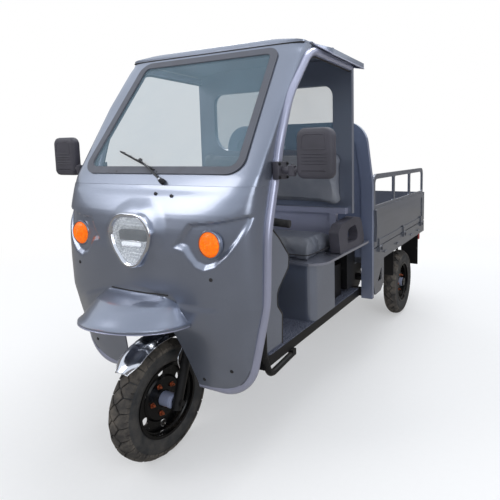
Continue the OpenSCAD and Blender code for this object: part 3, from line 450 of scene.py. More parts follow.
def turnedShape(profile, centre, steps=96, close=False):
    # a profile of (radius, sideways) points turned about a line across the vehicle
    c = np.array(centre, float)
    rings = []
    for k in range(steps):
        w = 2 * math.pi * k / steps
        rings.append([c + (s, -r * math.sin(w), r * math.cos(w)) for r, s in profile])
    size = len(profile)
    return np.concatenate(rings), ringFaces(steps, size, close, True)


def turnedAlong(profile, base, aim, steps=32):
    # a profile of (radius, outwards) points turned about any line from base
    aim = unit(aim)
    u = unit(np.cross(aim, (0.3, 0.2, 0.93)))
    v = np.cross(aim, u)
    rings = [[np.array(base) + aim * h + r * (u * math.cos(2 * math.pi * k / steps) + v * math.sin(2 * math.pi * k / steps))
        for k in range(steps)] for r, h in profile]
    return loft(rings)


def plate(outline, low, high, edge=2.0, plane="xy"):
    # an outline given a thickness, its edges rounded in two steps
    rings = []
    for inset, level in ((edge, low), (edge * 0.3, low + edge * 0.3), (0, low + edge), (0, high - edge),
            (edge * 0.3, high - edge * 0.3), (edge, high)):
        flat = insetLine(outline, inset)
        a, b, c = flat[:, 0], flat[:, 1], np.full(len(flat), level)
        rings.append(np.stack({"xy": (a, b, c), "yz": (c, a, b), "xz": (a, c, b)}[plane], 1))
    return loft(rings)


def block(x0, x1, y0, y1, z0, z1, r=3.0, edge=1.5):
    r = min(r, (x1 - x0) / 2.2, (y1 - y0) / 2.2)
    edge = min(edge, (z1 - z0) / 2.5, r * 0.8)
    return plate(rounded([(x0, y0), (x1, y0), (x1, y1), (x0, y1)], [r] * 4, 3), z0, z1, edge)


def together(*shapes):
    points, faces, off = [], [], 0
    for p, f in shapes:
        points.append(np.asarray(p, float))
        faces += [tuple(i + off for i in face) for face in f]
        off += len(p)
    return np.concatenate(points), faces


def mirrored(shape):
    points, faces = shape
    return np.asarray(points) * (-1, 1, 1), [tuple(reversed(f)) for f in faces]


def pair(shape):
    return together(shape, mirrored(shape))


def soften(obj, sharp=35):
    obj.data.shade_smooth()
    obj.data.set_sharp_from_angle(angle=math.radians(sharp))


def settle(obj):
    # turns an object with modifiers into a plain mesh
    bpy.context.view_layer.update()
    seen = obj.evaluated_get(bpy.context.evaluated_depsgraph_get())
    mesh = bpy.data.meshes.new_from_object(seen)
    obj.modifiers.clear()
    obj.data = mesh
    return obj


def makePiece(name, shape, finish, body="chassis", sharp=35, wall=0.0, stands="", tidy=True):
    points, faces = shape
    mesh = bpy.data.meshes.new(name)
    mesh.from_pydata(spot(points).tolist(), [], [tuple(int(i) for i in f) for f in faces])
    obj = bpy.data.objects.new(name, mesh)
    scene.collection.objects.link(obj)
    if tidy:
        b = bmesh.new()
        b.from_mesh(mesh)
        bmesh.ops.remove_doubles(b, verts=b.verts, dist=0.00002)
        bmesh.ops.recalc_face_normals(b, faces=b.faces)
        b.to_mesh(mesh)
        b.free()
    if wall:
        thick = obj.modifiers.new("wall", "SOLIDIFY")
        thick.thickness, thick.offset = wall / 1000, -1
        settle(obj)
    dress(obj, finish)
    soften(obj, sharp)
    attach(obj, body)
    if stands:
        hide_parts(*stands.split())
    return obj


def startTree(name, sockets):
    tree = bpy.data.node_groups.new(name, "GeometryNodeTree")
    tree.interface.new_socket("Geometry", in_out="INPUT", socket_type="NodeSocketGeometry")
    keys = {}
    for label, (kind, value) in sockets.items():
        made = tree.interface.new_socket(label, in_out="INPUT", socket_type="NodeSocket" + kind)
        if value is not None:
            made.default_value = value
        keys[label] = made.identifier
    tree.interface.new_socket("Geometry", in_out="OUTPUT", socket_type="NodeSocketGeometry")
    return tree, keys, tree.nodes.new("NodeGroupInput"), tree.nodes.new("NodeGroupOutput")


def join(tree, *pairs):
    for a, b in pairs:
        tree.links.new(a, b)


def ringTree():
    # copies the modifier's own mesh round the wheel's line: one pitch of tread, one nut
    tree, keys, given, result = startTree("ring of copies", {"Count": ("Int", 6), "Centre": ("Vector", (0, 0, 0)),
        "First turn": ("Float", 0.0), "Finish": ("Material", None)})
    points, index = tree.nodes.new("GeometryNodePoints"), tree.nodes.new("GeometryNodeInputIndex")
    share, turn, add = (tree.nodes.new("ShaderNodeMath") for _ in range(3))
    share.operation, turn.operation, add.operation = "DIVIDE", "MULTIPLY", "ADD"
    turn.inputs[1].default_value = 2 * math.pi
    spin, place = tree.nodes.new("ShaderNodeCombineXYZ"), tree.nodes.new("GeometryNodeInstanceOnPoints")
    real, move, cover = (tree.nodes.new(k) for k in ("GeometryNodeRealizeInstances", "GeometryNodeTransform",
        "GeometryNodeSetMaterial"))
    join(tree, (given.outputs["Count"], points.inputs["Count"]), (index.outputs[0], share.inputs[0]),
        (given.outputs["Count"], share.inputs[1]), (share.outputs[0], turn.inputs[0]), (turn.outputs[0],
            add.inputs[0]),
        (given.outputs["First turn"], add.inputs[1]), (add.outputs[0], spin.inputs[0]),
        (points.outputs[0], place.inputs["Points"]), (given.outputs["Geometry"], place.inputs["Instance"]),
        (spin.outputs[0], place.inputs["Rotation"]), (place.outputs[0], real.inputs[0]),
        (real.outputs[0], move.inputs["Geometry"]), (given.outputs["Centre"], move.inputs["Translation"]),
        (move.outputs[0], cover.inputs["Geometry"]), (given.outputs["Finish"], cover.inputs["Material"]),
        (cover.outputs[0], result.inputs[0]))
    return tree, keys


def studTree():
    # sets one small shape on every point of the modifier's mesh, standing along the point's own aim
    tree, keys, given, result = startTree("shape on points", {"Shape": ("Object", None), "Scale": ("Float", 1.0),
        "Finish": ("Material", None)})
    info, aim = tree.nodes.new("GeometryNodeObjectInfo"), tree.nodes.new("GeometryNodeInputNamedAttribute")
    aim.data_type = "FLOAT_VECTOR"
    aim.inputs["Name"].default_value = "aim"
    stand, place = tree.nodes.new("FunctionNodeAlignRotationToVector"), tree.nodes.new("GeometryNodeInstanceOnPoints")
    stand.axis = "Z"
    dots = tree.nodes.new("GeometryNodeMeshToPoints")
    real, cover = tree.nodes.new("GeometryNodeRealizeInstances"), tree.nodes.new("GeometryNodeSetMaterial")
    join(tree, (given.outputs["Geometry"], dots.inputs[0]), (dots.outputs[0], place.inputs["Points"]),
        (given.outputs["Shape"], info.inputs["Object"]), (info.outputs["Geometry"], place.inputs["Instance"]),
        (aim.outputs[0], stand.inputs["Vector"]), (stand.outputs[0], place.inputs["Rotation"]),
        (given.outputs["Scale"], place.inputs["Scale"]), (place.outputs[0], real.inputs[0]),
        (real.outputs[0], cover.inputs["Geometry"]), (given.outputs["Finish"], cover.inputs["Material"]),
        (cover.outputs[0], result.inputs[0]))
    return tree, keys


ringOf, studOn = ringTree(), studTree()


def plainMesh(name, points, faces):
    mesh = bpy.data.meshes.new(name)
    mesh.from_pydata((np.asarray(points, float) / 1000).tolist(), [], [tuple(int(i) for i in f) for f in faces])
    obj = bpy.data.objects.new(name, mesh)
    scene.collection.objects.link(obj)
    return obj


def withTree(obj, treeAndKeys, finish, **values):
    tree, keys = treeAndKeys
    work = obj.modifiers.new("build", "NODES")
    work.node_group = tree
    for label, value in values.items():
        work[keys[label.replace("_", " ")]] = value
    work[keys["Finish"]] = finishes[finish]
    settle(obj)


def ringPiece(name, shape, count, centre, finish, body, sharp=30, firstTurn=0.0):
    # shape is drawn round the wheel's own middle
    obj = plainMesh(name, *shape)
    withTree(obj, ringOf, finish, Count=count, Centre=tuple(float(v) for v in spot(centre)),
        First_turn=float(firstTurn))
    soften(obj, sharp)
    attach(obj, body)
    return obj


def hexBolt(size, height, washer=1.5):
    hexagon = [(size * math.cos(math.pi * k / 3), size * math.sin(math.pi * k / 3)) for k in range(6)]
    ring = lambda pts, z: [(x, y, z) for x, y in pts]
    head = loft([ring(hexagon, 0), ring(hexagon, height * 0.8), ring([(x * 0.86, y * 0.86) for x, y in hexagon],
        height)])
    disc = circle(size * 1.35, 16)
    return together(head, loft([ring(disc, -0.5), ring(disc, washer * 0.7), ring([(x * 0.93, y * 0.93) for x,
        y in disc], washer)]))


def domeStud(r, height):
    rings = [[(r * math.cos(w) * math.cos(a), r * math.cos(w) * math.sin(a), height * math.sin(w))
        for a in np.linspace(0, 2 * math.pi, 17)[:16]] for w in np.linspace(0, 1.35, 5)]
    return loft([[(x, y, -1) for x, y, z in rings[0]]] + rings)


def studs(name, shape, places, finish, body="chassis", scale=1.0):
    # places are (point, direction) pairs
    stud = plainMesh(name + " shape", *shape)
    points = bpy.data.meshes.new(name)
    points.from_pydata(spot([p for p, _ in places]).tolist(), [], [])
    aims = points.attributes.new("aim", "FLOAT_VECTOR", "POINT")
    aims.data.foreach_set("vector", np.array([unit(d) for _, d in places], np.float32).ravel())
    obj = bpy.data.objects.new(name, points)
    scene.collection.objects.link(obj)
    withTree(obj, studOn, finish, Shape=stud, Scale=float(scale))
    bpy.data.objects.remove(stud)
    soften(obj, 30)
    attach(obj, body)
    return obj


def both(places):
    # the same places on both sides
    return places + [((-p[0], p[1], p[2]), (-d[0], d[1], d[2])) for p, d in places]


print("tools ready")

# The moulded front: rows of height, edge depth, middle depth and squareness, as in the frame
front = dict(
    rows=[[341, 35, 14, 3.4], [381, 36, 4, 3.4], [440, 37, -12, 3.2], [505, 40, -32, 3.2], [600, 45, -58, 3.2],
        [700, 52, -80, 3.2], [816, 64, -95, 3.2], [900, 72, -100, 3.2], [975, 80, -94, 3.4], [1050, 103, -72, 4],
        [1110, 122, -40, 5], [1150, 134, -8, 7]],
    seam=1150,
    recessTop=[(186, 924), (224, 962), (262, 1016), (366, 1025), (442, 1040), (502, 1054)],
    recessLow=[(502, 1054), (488, 1008), (459, 952), (423, 902), (375, 858), (328, 843), (286, 858), (256, 892),
        (240, 914), (214, 920), (186, 924)],
    recessDepth=17, recessTopEdge=9, recessLowEdge=27,
    waveTop=[(-420, 668), (-349, 690), (-222, 726), (-136, 747), (-47, 758), (50, 752), (128, 726), (237, 711),
        (327, 711), (420, 712)],
    waveDrop=32, waveOut=11,
    hoodOut=13, hoodWidth=58,
    archWidth=[196, 140, 70], archTop=600,
)
lamp = dict(z=943, y=-120, corners=[(-62, 104), (62, 104), (114, 46), (100, -24), (36, -106), (-36, -106), (-100,
    -24), (-114, 46)],
    radii=[84, 84, 68, 130, 70, 70, 130, 68])
signal = dict(x=347, z=943, y=-92, r=47)


def smooth(v):
    v = np.clip(v, 0, 1)
    return v * v * (3 - 2 * v)


def nearest(points, line):
    # distance from each point to a line of segments, and the nearest place on it
    p, line = np.asarray(points, float)[:, None], np.asarray(line, float)
    a, d = line[:-1][None], (line[1:] - line[:-1])[None]
    t = np.clip(((p - a) * d).sum(-1) / np.maximum((d * d).sum(-1), 1e-9), 0, 1)
    q = a + t[..., None] * d
    far = np.linalg.norm(p - q, axis=-1)
    k = far.argmin(1)
    i = np.arange(len(k))
    return far[i, k], q[i, k]


def inside(points, outline):
    p, o = np.asarray(points, float), np.asarray(outline, float)
    hit = np.zeros(len(p), bool)
    for (x0, y0), (x1, y1) in zip(o, np.roll(o, -1, 0)):
        if y0 == y1:
            continue
        cross = ((y0 > p[:, 1]) != (y1 > p[:, 1])) & (p[:, 0] < (x1 - x0) * (p[:, 1] - y0) / (y1 - y0) + x0)
        hit ^= cross
    return hit


def hoopX(z):
    side = np.interp(z, [473, 699, 975], [458.7, 506, 500])
    return np.where(z > 473, side, 309.4 + np.sqrt(np.maximum(0, 150**2 - (488 - z) ** 2)))


def rowOf(z, k):
    table = np.array(front["rows"])
    read = lambda h: np.interp(h, table[:, 0], table[:, k])
    return (read(z - 18) + 2 * read(z) + read(z + 18)) / 4


lampOutline = rounded(lamp["corners"], lamp["radii"], 10) + (0, lamp["z"])


def frontY(x, z, relief=True):
    s = np.clip(np.abs(x) / hoopX(z), 0, 1)
    edge, mid, power = rowOf(z, 1), rowOf(z, 2), rowOf(z, 3)
    y = edge - (edge - mid) * np.maximum(0, 1 - s**power) ** (1 / power)
    if not relief:
        return y
    flat = np.stack([np.abs(x), z], 1)
    top, low = np.array(front["recessTop"], float), np.array(front["recessLow"], float)
    pocket = inside(flat, np.concatenate([top, low[1:-1]]))
    y = y + front["recessDepth"] * pocket * smooth(nearest(flat, top)[0] / front["recessTopEdge"]) * smooth(
        nearest(flat, low)[0] / front["recessLowEdge"])
    wave = np.interp(x, *np.array(front["waveTop"], float).T)
    y = y - front["waveOut"] * smooth((wave - z) / front["waveDrop"]) * smooth((z - 480) / 170) * smooth((430 - np.abs(x)) / 110)
    around = np.stack([x, z], 1)
    ring = np.concatenate([lampOutline, lampOutline[:1]])
    hood = smooth(1 - nearest(around, ring)[0] / front["hoodWidth"]) * (0.3 + 0.7 * smooth((z - 860) / 120))
    return y - front["hoodOut"] * np.where(inside(around, lampOutline), 1, hood)


def heldSheet(xs, zs, depth, holes):
    # a sheet over a grid of places seen from the front, its cells trimmed to the holes' outlines
    n, m = xs.shape
    flat = np.stack([xs.ravel(), zs.ravel()], 1)
    faces = np.array([(i * m + j, i * m + j + 1, (i + 1) * m + j + 1,
        (i + 1) * m + j) for i in range(n - 1) for j in range(m - 1)])
    gone = np.zeros(len(faces), bool)
    for hole in holes:
        out = inside(flat[faces].mean(1), hole)
        edge = np.intersect1d(faces[out].ravel(), faces[~out].ravel())
        flat[edge] = nearest(flat[edge], np.concatenate([hole, hole[:1]]))[1]
        gone |= out
    faces = faces[~gone]
    used, back = np.unique(faces, return_inverse=True)
    flat = flat[used]
    return np.stack([flat[:, 0], depth(flat[:, 0], flat[:, 1]), flat[:, 1]], 1), back.reshape(faces.shape)


def makeFairing():
    zs = np.concatenate([np.arange(341, 1149.4, 5.4), [front["seam"] - 0.3]])
    s = np.sin(np.linspace(-math.pi / 2, math.pi / 2, 211))
    z, s = np.meshgrid(zs, s, indexing="ij")
    a, b, c = front["archWidth"]
    arch = rounded([(-a - 12, 300), (a + 12, 300), (b, front["archTop"]), (c, front["archTop"] + 66),
        (-c, front["archTop"] + 66), (-b, front["archTop"])], [0, 0, 60, 60, 60, 60], 8)
    disc = np.array(circle(signal["r"] + 1, 40)) + (signal["x"], signal["z"])
    holes = [arch, insetLine(lampOutline, 3), disc, disc * (-1, 1)]
    makePiece("fairing_shell", heldSheet(hoopX(z) * s, z, frontY, holes), "cabPaint", sharp=50, wall=5,
        stands="front_fairing")
    # the black edge of the wheel cut-out
    line = arch[1:-1]
    line = bentLine(np.stack([line[:, 0], frontY(line[:, 0], line[:, 1]) + 2, line[:, 1]], 1), [0] * len(line))
    makePiece("cut_out_bead", sweep(line[2:-2], circle(3.4, 10)), "seal")


makeFairing()
print("fairing made")

# Screen surround, gasket and glass lie in one leaning plane
screen = dict(y0=21, z0=1192, z1=1721, slope=0.677, half0=433, half1=398, lip=12, header=1738)
screenLen = (screen["z1"] - screen["z0"]) * math.sqrt(1 + screen["slope"] ** 2)


def screenY(z):
    return screen["y0"] + (z - screen["z0"]) * screen["slope"]


def screenOutline(d, steps=10):
    a, b = screen["half0"], screen["half1"]
    return rounded([(-a + d, d), (a - d, d), (b - d, screenLen - d), (-b + d, screenLen - d)], [70 - d, 70 - d,
        62 - d, 62 - d], steps)


def onScreen(u, v, out=0.0):
    # a place on the pane from its own sideways and upwards distance
    k = math.sqrt(1 + screen["slope"] ** 2)
    return np.array([u, screen["y0"] + v * screen["slope"] / k - out / k,
        screen["z0"] + v / k + out * screen["slope"] / k])


def hoopY(z):
    return np.interp(z, [1150, 1240, 1330, 1500, 1620, 1690, 1716], [134, 161, 190, 262, 362, 426, 470])


def surroundY(x, z):
    s = np.clip(np.abs(x) / 500, 0, 1)
    edge, power = np.maximum(hoopY(z), screenY(z) + 30), np.interp(z, [1150, 1185], [7, 9])
    return edge - (edge - screenY(z)) * np.maximum(0, 1 - s**power) ** (1 / power)


def makeSurround():
    zs = np.concatenate([[front["seam"] + 0.3], np.arange(1156, screen["header"], 6.5), [screen["header"]]])
    z, s = np.meshgrid(zs, np.sin(np.linspace(-math.pi / 2, math.pi / 2, 161)), indexing="ij")
    o = screenOutline(screen["lip"])
    hole = np.stack([o[:, 0], screen["z0"] + o[:, 1] / math.sqrt(1 + screen["slope"] ** 2)], 1)
    makePiece("surround_shell", heldSheet(500 * s, z, surroundY, [hole]), "cabPaint", sharp=50, wall=5,
        stands="screen_surround")


def makeGasket():
    # a rubber section with a raised outer lip, a groove and a soft inner lip, swept round the pane
    section = [(0, 0.5), (0.5, 3.2), (3, 4.6), (11, 5), (14, 4.4), (16, 3.2), (18, 4.2), (27, 4.4), (32, 3), (34,
        0.4), (34, -3)]
    rings = []
    for inset, out in section:
        rings.append([onScreen(u, v, out) for u, v in insetLine(screenOutline(0, 14), inset)])
    shape = loft(rings, caps=False)
    makePiece("gasket_trim", shape, "gasket", sharp=60)
    joints = [[onScreen(x - 1.5, 12, 5.2), onScreen(x + 1.5, 12, 5.2), onScreen(x + 1.5, -1, 3.4), onScreen(x - 1.5,
        -1, 3.4)] for x in (-215, 15)]
    makePiece("gasket_joints", together(*[(q, [(0, 1, 2, 3)]) for q in joints]), "seal", wall=1)


makeSurround()
makeGasket()
print("screen made")


# Wheels: carcass, tread blocks, sidewall, rim details; the profile is the same for all three
wheel = dict(
    front=dict(tyre="front_tyre", body="front_wheel", centre=(0, 0, 245), r=245, pitches=26, drum=70, drumWide=40,
        hub=74),
    rearLeft=dict(tyre="rear_tyre_left", body="rear_wheel_left", centre=(425, 2084, 250), r=250, pitches=27,
        drum=90, drumWide=48, hub=50),
    rearRight=dict(tyre="rear_tyre_right", body="rear_wheel_right", centre=(-425, 2084, 250), r=250, pitches=27,
        drum=90, drumWide=48, hub=50),
    half=48.5, rim=152, blockHeight=7, groove=5.0,
)


def crownOf(r, s):
    # height of the tread above the axle, s from the middle of the tyre
    return r - 0.0052 * s * s - 0.0000026 * s**4


def treadBlock(corners, r, high):
    # corners are (along, sideways); edges are cut up so that the block follows the tyre
    outline = []
    for a, b in zip(corners, np.roll(corners, -1, 0)):
        steps = max(1, int(np.linalg.norm(np.subtract(b, a)) / 9))
        outline += [np.array(a) + (np.array(b) - a) * k / steps for k in range(steps)]
    outline, rings = np.array(outline, float), []
    for inset, drop in ((-0.8, high + 3), (0.0, 1.2), (1.3, 0.0)):
        flat = insetLine(outline, inset)
        top = crownOf(r, flat[:, 1]) - drop
        w = flat[:, 0] / r
        rings.append(np.stack([flat[:, 1], -top * np.sin(w), top * np.cos(w)], 1))
    return loft(rings)


def treadPitch(r, count, high, gap):
    # one pitch of the pattern: a diamond in the middle and a five-sided block on each shoulder
    p, g = 2 * math.pi * r / count, gap / 2
    blocks = [[(g, 4), (g, -4), (p / 2 - g * 0.4, -24 + g), (p / 2 + g * 0.4, -24 + g), (p - g, -4), (p - g, 4),
        (p / 2 + g * 0.4, 24 - g), (p / 2 - g * 0.4, 24 - g)][::-1]]
    for side in (1, -1):
        house = [(-p / 2 + g, 46.5), (-p / 2 + g, 25.5 + g), (-g * 0.5, 5.5 + g), (g * 0.5, 5.5 + g), (p / 2 - g,
            25.5 + g), (p / 2 - g, 46.5), (p * 0.16, 46.5), (p * 0.14, 43), (p * 0.08, 43), (p * 0.06, 46.5)]
        blocks.append([(u, v * side) for u, v in house][::side])
    return together(*[treadBlock(b, r, high) for b in blocks])


def carcassProfile(r, high, rim, half):
    crown = [(crownOf(r, s) - high, s) for s in np.linspace(-42, 42, 11)]
    wall = [(rim + 1, half - 11), (rim + 5, half - 8), (rim + 14, half - 3.6), (rim + 17, half - 3.0), (rim + 20,
        half - 1.4), (rim + 34, half),
        (r - 48, half - 0.3), (r - 43, half - 1.0), (r - 42, half - 1.8), (r - 36, half - 2.8)]
    return [(a, -b) for a, b in wall] + crown + [(a, b) for a, b in reversed(wall)]


def lockNut(x, radius, size, long):
    base, tip = np.array([x, 0, radius]), np.array([x + long, 0, radius])
    d = 1 if long > 0 else -1
    hexagon = [(size * math.cos(math.pi * k / 3), size * math.sin(math.pi * k / 3)) for k in range(6)]
    return together(sweep([base, base + (long * 0.6, 0, 0), base + (long * 0.68, 0, 0)], hexagon, sizes=[1, 1,
        0.85]),
        rod(base + (long * 0.6, 0, 0), tip, size * 0.52, 10), rod(base - (d, 0, 0), base + (d * 1.5, 0, 0),
            size * 1.4, 16, 0.4))


def valveStem(radius):
    return together(rod((8, 0, radius), (26, 0, radius - 9), 3.2, 10), rod((24, 0, radius - 8), (31, 0,
        radius - 11.5), 3.8, 10))


def makeWheel(key):
    w, half, rim, high = wheel[key], wheel["half"], wheel["rim"], wheel["blockHeight"]
    r, c, body = w["r"], w["centre"], w["body"]
    inner = -1 if key != "rearRight" else 1
    out = -inner
    shape = turnedShape(carcassProfile(r, high, rim, half), c, 96, close=True)
    makePiece(key + "Carcass", shape, "sidewall", body, sharp=50, stands=w["tyre"])
    ringPiece(key + "Tread", treadPitch(r, w["pitches"], high, wheel["groove"]), w["pitches"], c, "tyre", body,
        sharp=28)
    # rolled edges and the stepped well of the pressed rim, on both faces
    lip = [(rim + 3, half - 4.6), (rim + 3.4, half - 6.5), (rim - 1, half - 8), (rim - 8.6, half - 8), (rim - 10,
        half - 12), (rim - 9.4, half - 20),
        (rim - 13, half - 25), (rim - 17, half - 27), (rim - 17.5, half - 34), (rim - 12, half - 34), (rim - 3,
            half - 12), (rim - 0.6, half - 4.6)]
    shapes = [turnedShape([(a, s * b) for a, b in lip], c, 96, close=True) for s in (1, -1)]
    makePiece(key + "RimEdges", together(*shapes), "rimBlack", body, sharp=40)
    # pressed ring of the disc: dish towards the hub with a raised band that holds the nuts
    dish = [(rim - 14, 5), (106, 4.6), (96, 5.6), (88, 11), (60, 12), (52, 12), (46, 15), (34, 16), (34, 4.2),
        (rim - 14, 4.2)]
    disc = [(a, out * b) for a, b in dish[2:]]
    makePiece(key + "Dish", turnedShape([(94, out * 4.2)] + disc[:-1] + [(90, out * 4.0)], c, 72, close=True),
        "rimBlack", body, sharp=30)
    # the brake drum's cast ribs and cap on the inner side
    drum, wide = w["drum"], w["drumWide"]
    profile = [(drum - 8, inner * 4), (drum + 0.8, inner * 5), (drum + 1.2, inner * 10), (drum - 0.6, inner * 12),
        (drum + 0.6, inner * 15), (drum + 0.8, inner * (wide - 4)),
        (drum - 3, inner * (wide + 0.8)), (drum - 12, inner * (wide + 1)), (drum - 15,
            inner * (wide + 0.4)), (drum - 40, inner * (wide + 0.8)), (32, inner * (wide + 1)), (31, inner * 4)]
    makePiece(key + "Drum", turnedShape(profile, c, 64, close=True), "hub", body, sharp=30)
    end = w["hub"] - 1.5
    hubCup = [(30.6, out * 15), (30.9, out * 20), (30.7, out * 23), (30.7, out * 32), (30.7, out * (end - 8)),
        (29.4, out * (end - 6)), (29.8, out * (end - 1)), (27.4, out * end), (19, out * end),
        (18.2, out * (end - 2.5)), (12.2, out * (end - 2.5))]
    makePiece(key + "HubCup", turnedShape(hubCup + [(12.2, out * 15)], c, 48, close=True), "hub", body, sharp=30)
    ringPiece(key + "Nuts", lockNut(out * 12, 62, 7.6, out * 17), 5, c, "copper", body, firstTurn=0.35)
    ringPiece(key + "Valve", together(*[(np.array(p) * (out, 1, 1),
        f if out > 0 else [tuple(reversed(q)) for q in f]) for p, f in [valveStem(rim - 16)]]), 1, c, "seal", body,
        firstTurn=2.2)


for key in ("front", "rearLeft", "rearRight"):
    makeWheel(key)
print("wheels made")

# Front end: chrome mudguard with rolled edges and a wire stay
guard = dict(radius=286, back=-58, nose=45, half=57, height=245)


def guardPoint(w, s):
    # w round the wheel from the top, forwards; s from -1 to 1 across
    t = guard["half"] * s
    r = guard["radius"] - 17 * abs(s) ** 3.2
    return (t, -r * math.sin(w), guard["height"] + r * math.cos(w))


def makeMudguard():
    rows = []
    for w in np.radians(np.linspace(guard["back"], guard["nose"], 44)):
        near = smooth((math.radians(guard["nose"]) - w) / 0.22)
        rows.append([guardPoint(w, s) * np.array([0.55 + 0.45 * near**0.6, 1, 1]) for s in np.linspace(-1, 1, 25)])
    points = np.concatenate(rows)
    makePiece("mudguard_shell", (points, ringFaces(len(rows), 25, False)), "chrome", "steering", sharp=60, wall=1.6,
        stands="front_mudguard")
    edge = [rows[k][0] for k in range(44)] + [rows[-1][k] for k in range(1,
        25)] + [rows[43 - k][-1] for k in range(1, 44)]
    makePiece("mudguard_rim", sweep(edge, circle(2.3, 10)), "chrome", "steering", sharp=60)
    w0 = math.radians(-22)
    a = np.array(guardPoint(w0, 1))
    stay = bentLine([a + (1.5, 0, 6), a + (6, 0, -14), (76, 20, 420), (84, 46, 330), (88, 40, 290)], [0, 12, 40, 40,
        0])
    makePiece("mudguard_stay", pair(sweep(stay, circle(3.4, 12))), "chrome", "steering")
    studs("mudguard_rivets", domeStud(4, 2.2), both([(np.array(guardPoint(math.radians(d), 0.82)), (0.75,
        -0.3 * math.sin(math.radians(d)), 0.6)) for d in (-34, -12, 10)]),
        "chrome", "steering")


makeMudguard()
print("front end made")


# Cab tubes, roof, visor
tube = dict(corners=[[500, 904.7, 1716], [500, 452, 1716], [500, 262, 1500], [500, 190, 1330], [500, 80, 975], [506,
    52, 699],
    [431, 35, 338], [195, 35, 338]], bends=[0, 150, 400, 600, 500, 400, 150, 0], r=19)
roof = dict(rows=[(391.6, 1744), (399, 1759), (415, 1770), (447, 1776), (515, 1779), (640, 1780), (880, 1773), (955,
    1773)],
    half=560, drop=44, edge=26, thick=6, low=1738.6)
visor = dict(half=245, reach=200, out=100, z=655, fall=[(0, 0), (0.25, 7), (0.5, 19), (0.6, 29), (0.8, 55), (0.93,
    74), (0.97, 78), (1, 78)])


def makeTubes():
    line = bentLine(tube["corners"], tube["bends"], 3)
    side = sweep(line, circle(tube["r"], 28))
    makePiece("hoop_left", side, "tubePaint", sharp=60, stands="cab_hoop_left")
    makePiece("hoop_right", mirrored(side), "tubePaint", sharp=60, stands="cab_hoop_right")
    # door seal along the rear of each tube, and a dark strip along the moulded front's edge: painted shade standing
    # in for the panel's edge where it turns back to the tube
    ahead = np.array([unit(line[min(k + 1, len(line) - 1)] - line[max(k - 1, 0)]) for k in range(len(line))])
    behind = np.cross((1, 0, 0), ahead)
    rear = [(p + n * (tube["r"] + 2.5) + (-5, 0, 0)) for p, n in zip(line, behind) if p[2] > 352]
    makePiece("door_seal", pair(sweep(rear, [(-4, -3), (4, -3), (5.5, 0), (4, 4.5), (0, 6.5), (-4, 4.5), (-5.5,
        0)])), "seal", sharp=50)
    # painted shade: a darker strip where the panel's edge turns back towards the tube and falls into shade
    edge = [(p - n * (tube["r"] + 0.5) + (-9, 0, 0)) for p, n in zip(line, behind) if 352 < p[2] < 1700]
    makePiece("edge_strip", pair(sweep(edge, circle(5, 10))), "gasket", sharp=50)
    plugs = [(np.array([500, 905.5, 1716]), (0, 1, 0))]
    studs("tube_plugs", domeStud(15, 4), both(plugs), "seal")


def roofZ(x, y):
    table = np.array(roof["rows"], float)
    z = np.interp(y, table[:, 0], table[:, 1])
    z = (np.interp(y - 9, table[:, 0], table[:, 1]) + 2 * z + np.interp(y + 9, table[:, 0], table[:, 1])) / 4
    return np.minimum(z, 1780 - roof["drop"] * np.abs(x / roof["half"]) ** 2.6 + 0 * z)


def roofFront(s):
    edge, power = 434.7 + 14, 9
    return 391.6 + (edge - 390.6) * (1 - np.maximum(0, 1 - np.abs(s) ** power) ** (1 / power))


def makeRoof():
    s = np.sin(np.linspace(-math.pi / 2, math.pi / 2, 121))
    t = np.concatenate([np.linspace(0, 0.22, 26) ** 1.35 * 1.2, np.linspace(0.18, 1, 34)])
    t = np.unique(np.clip(t, 0, 1))
    rows = []
    for k in t:
        y = roofFront(s) * (1 - k) + 955 * k
        reach = 500 + 60 * smooth((y - 470) / 95)
        x = reach * s
        rows.append(np.stack([x, y, roofZ(x, y)], 1))
    first = rows[0].copy()
    first[:, 2] = roof["low"]
    rows = [first] + rows
    # the edge turned down: sides and rear
    grid = np.array(rows)
    down = np.array([np.clip((r[0][1] - 480) / 80, 0, 1) for r in rows])
    sideDrop = np.stack([grid[:, 0] - np.stack([0 * down, 0 * down, roof["edge"] * down], 1), grid[:,
        -1] - np.stack([0 * down, 0 * down, roof["edge"] * down], 1)], 1)
    grid = np.concatenate([sideDrop[:, :1], grid, sideDrop[:, 1:]], 1)
    back = grid[-1].copy()
    back[:, 2] = np.minimum(back[:, 2], 1773) - np.where(np.arange(len(back)) % (len(back) - 1) == 0, 0,
        roof["edge"])
    grid = np.concatenate([grid, back[None]])
    n, m = grid.shape[:2]
    makePiece("roof_shell", (grid.reshape(-1, 3), ringFaces(n, m, False)), "cabPaint", sharp=40, wall=roof["thick"],
        stands="roof_panel")
    # rolled hem round the drip edge
    hem = [g[0] for g in grid[6:-1]] + [g for g in grid[-1]] + [g[-1] for g in grid[6:-1][::-1]]
    makePiece("roof_hem", sweep([np.array(h) + (0, -1.0, 0) for h in hem], circle(3.2, 10)), "tubePaint", sharp=60)
    bead = [(x, y, 1737.8) for x, y in zip(500 * s[3:-3], roofFront(s[3:-3]) - 1.5)]
    makePiece("roof_joint", sweep(bead, circle(2.6, 8)), "seal", sharp=60)


def visorPoint(w, t, lift=0.0):
    fall = np.interp(t, *np.array(visor["fall"]).T)
    back = 40 * (1 - math.cos(w)) * t
    x = visor["half"] * math.sin(w) * (0.62 + 0.38 * t)
    y = -visor["out"] - visor["reach"] * math.cos(w) * t + back
    z = visor["z"] + 78 - fall - 22 * math.sin(w) ** 2 * t
    return np.array([x, y, z + lift])


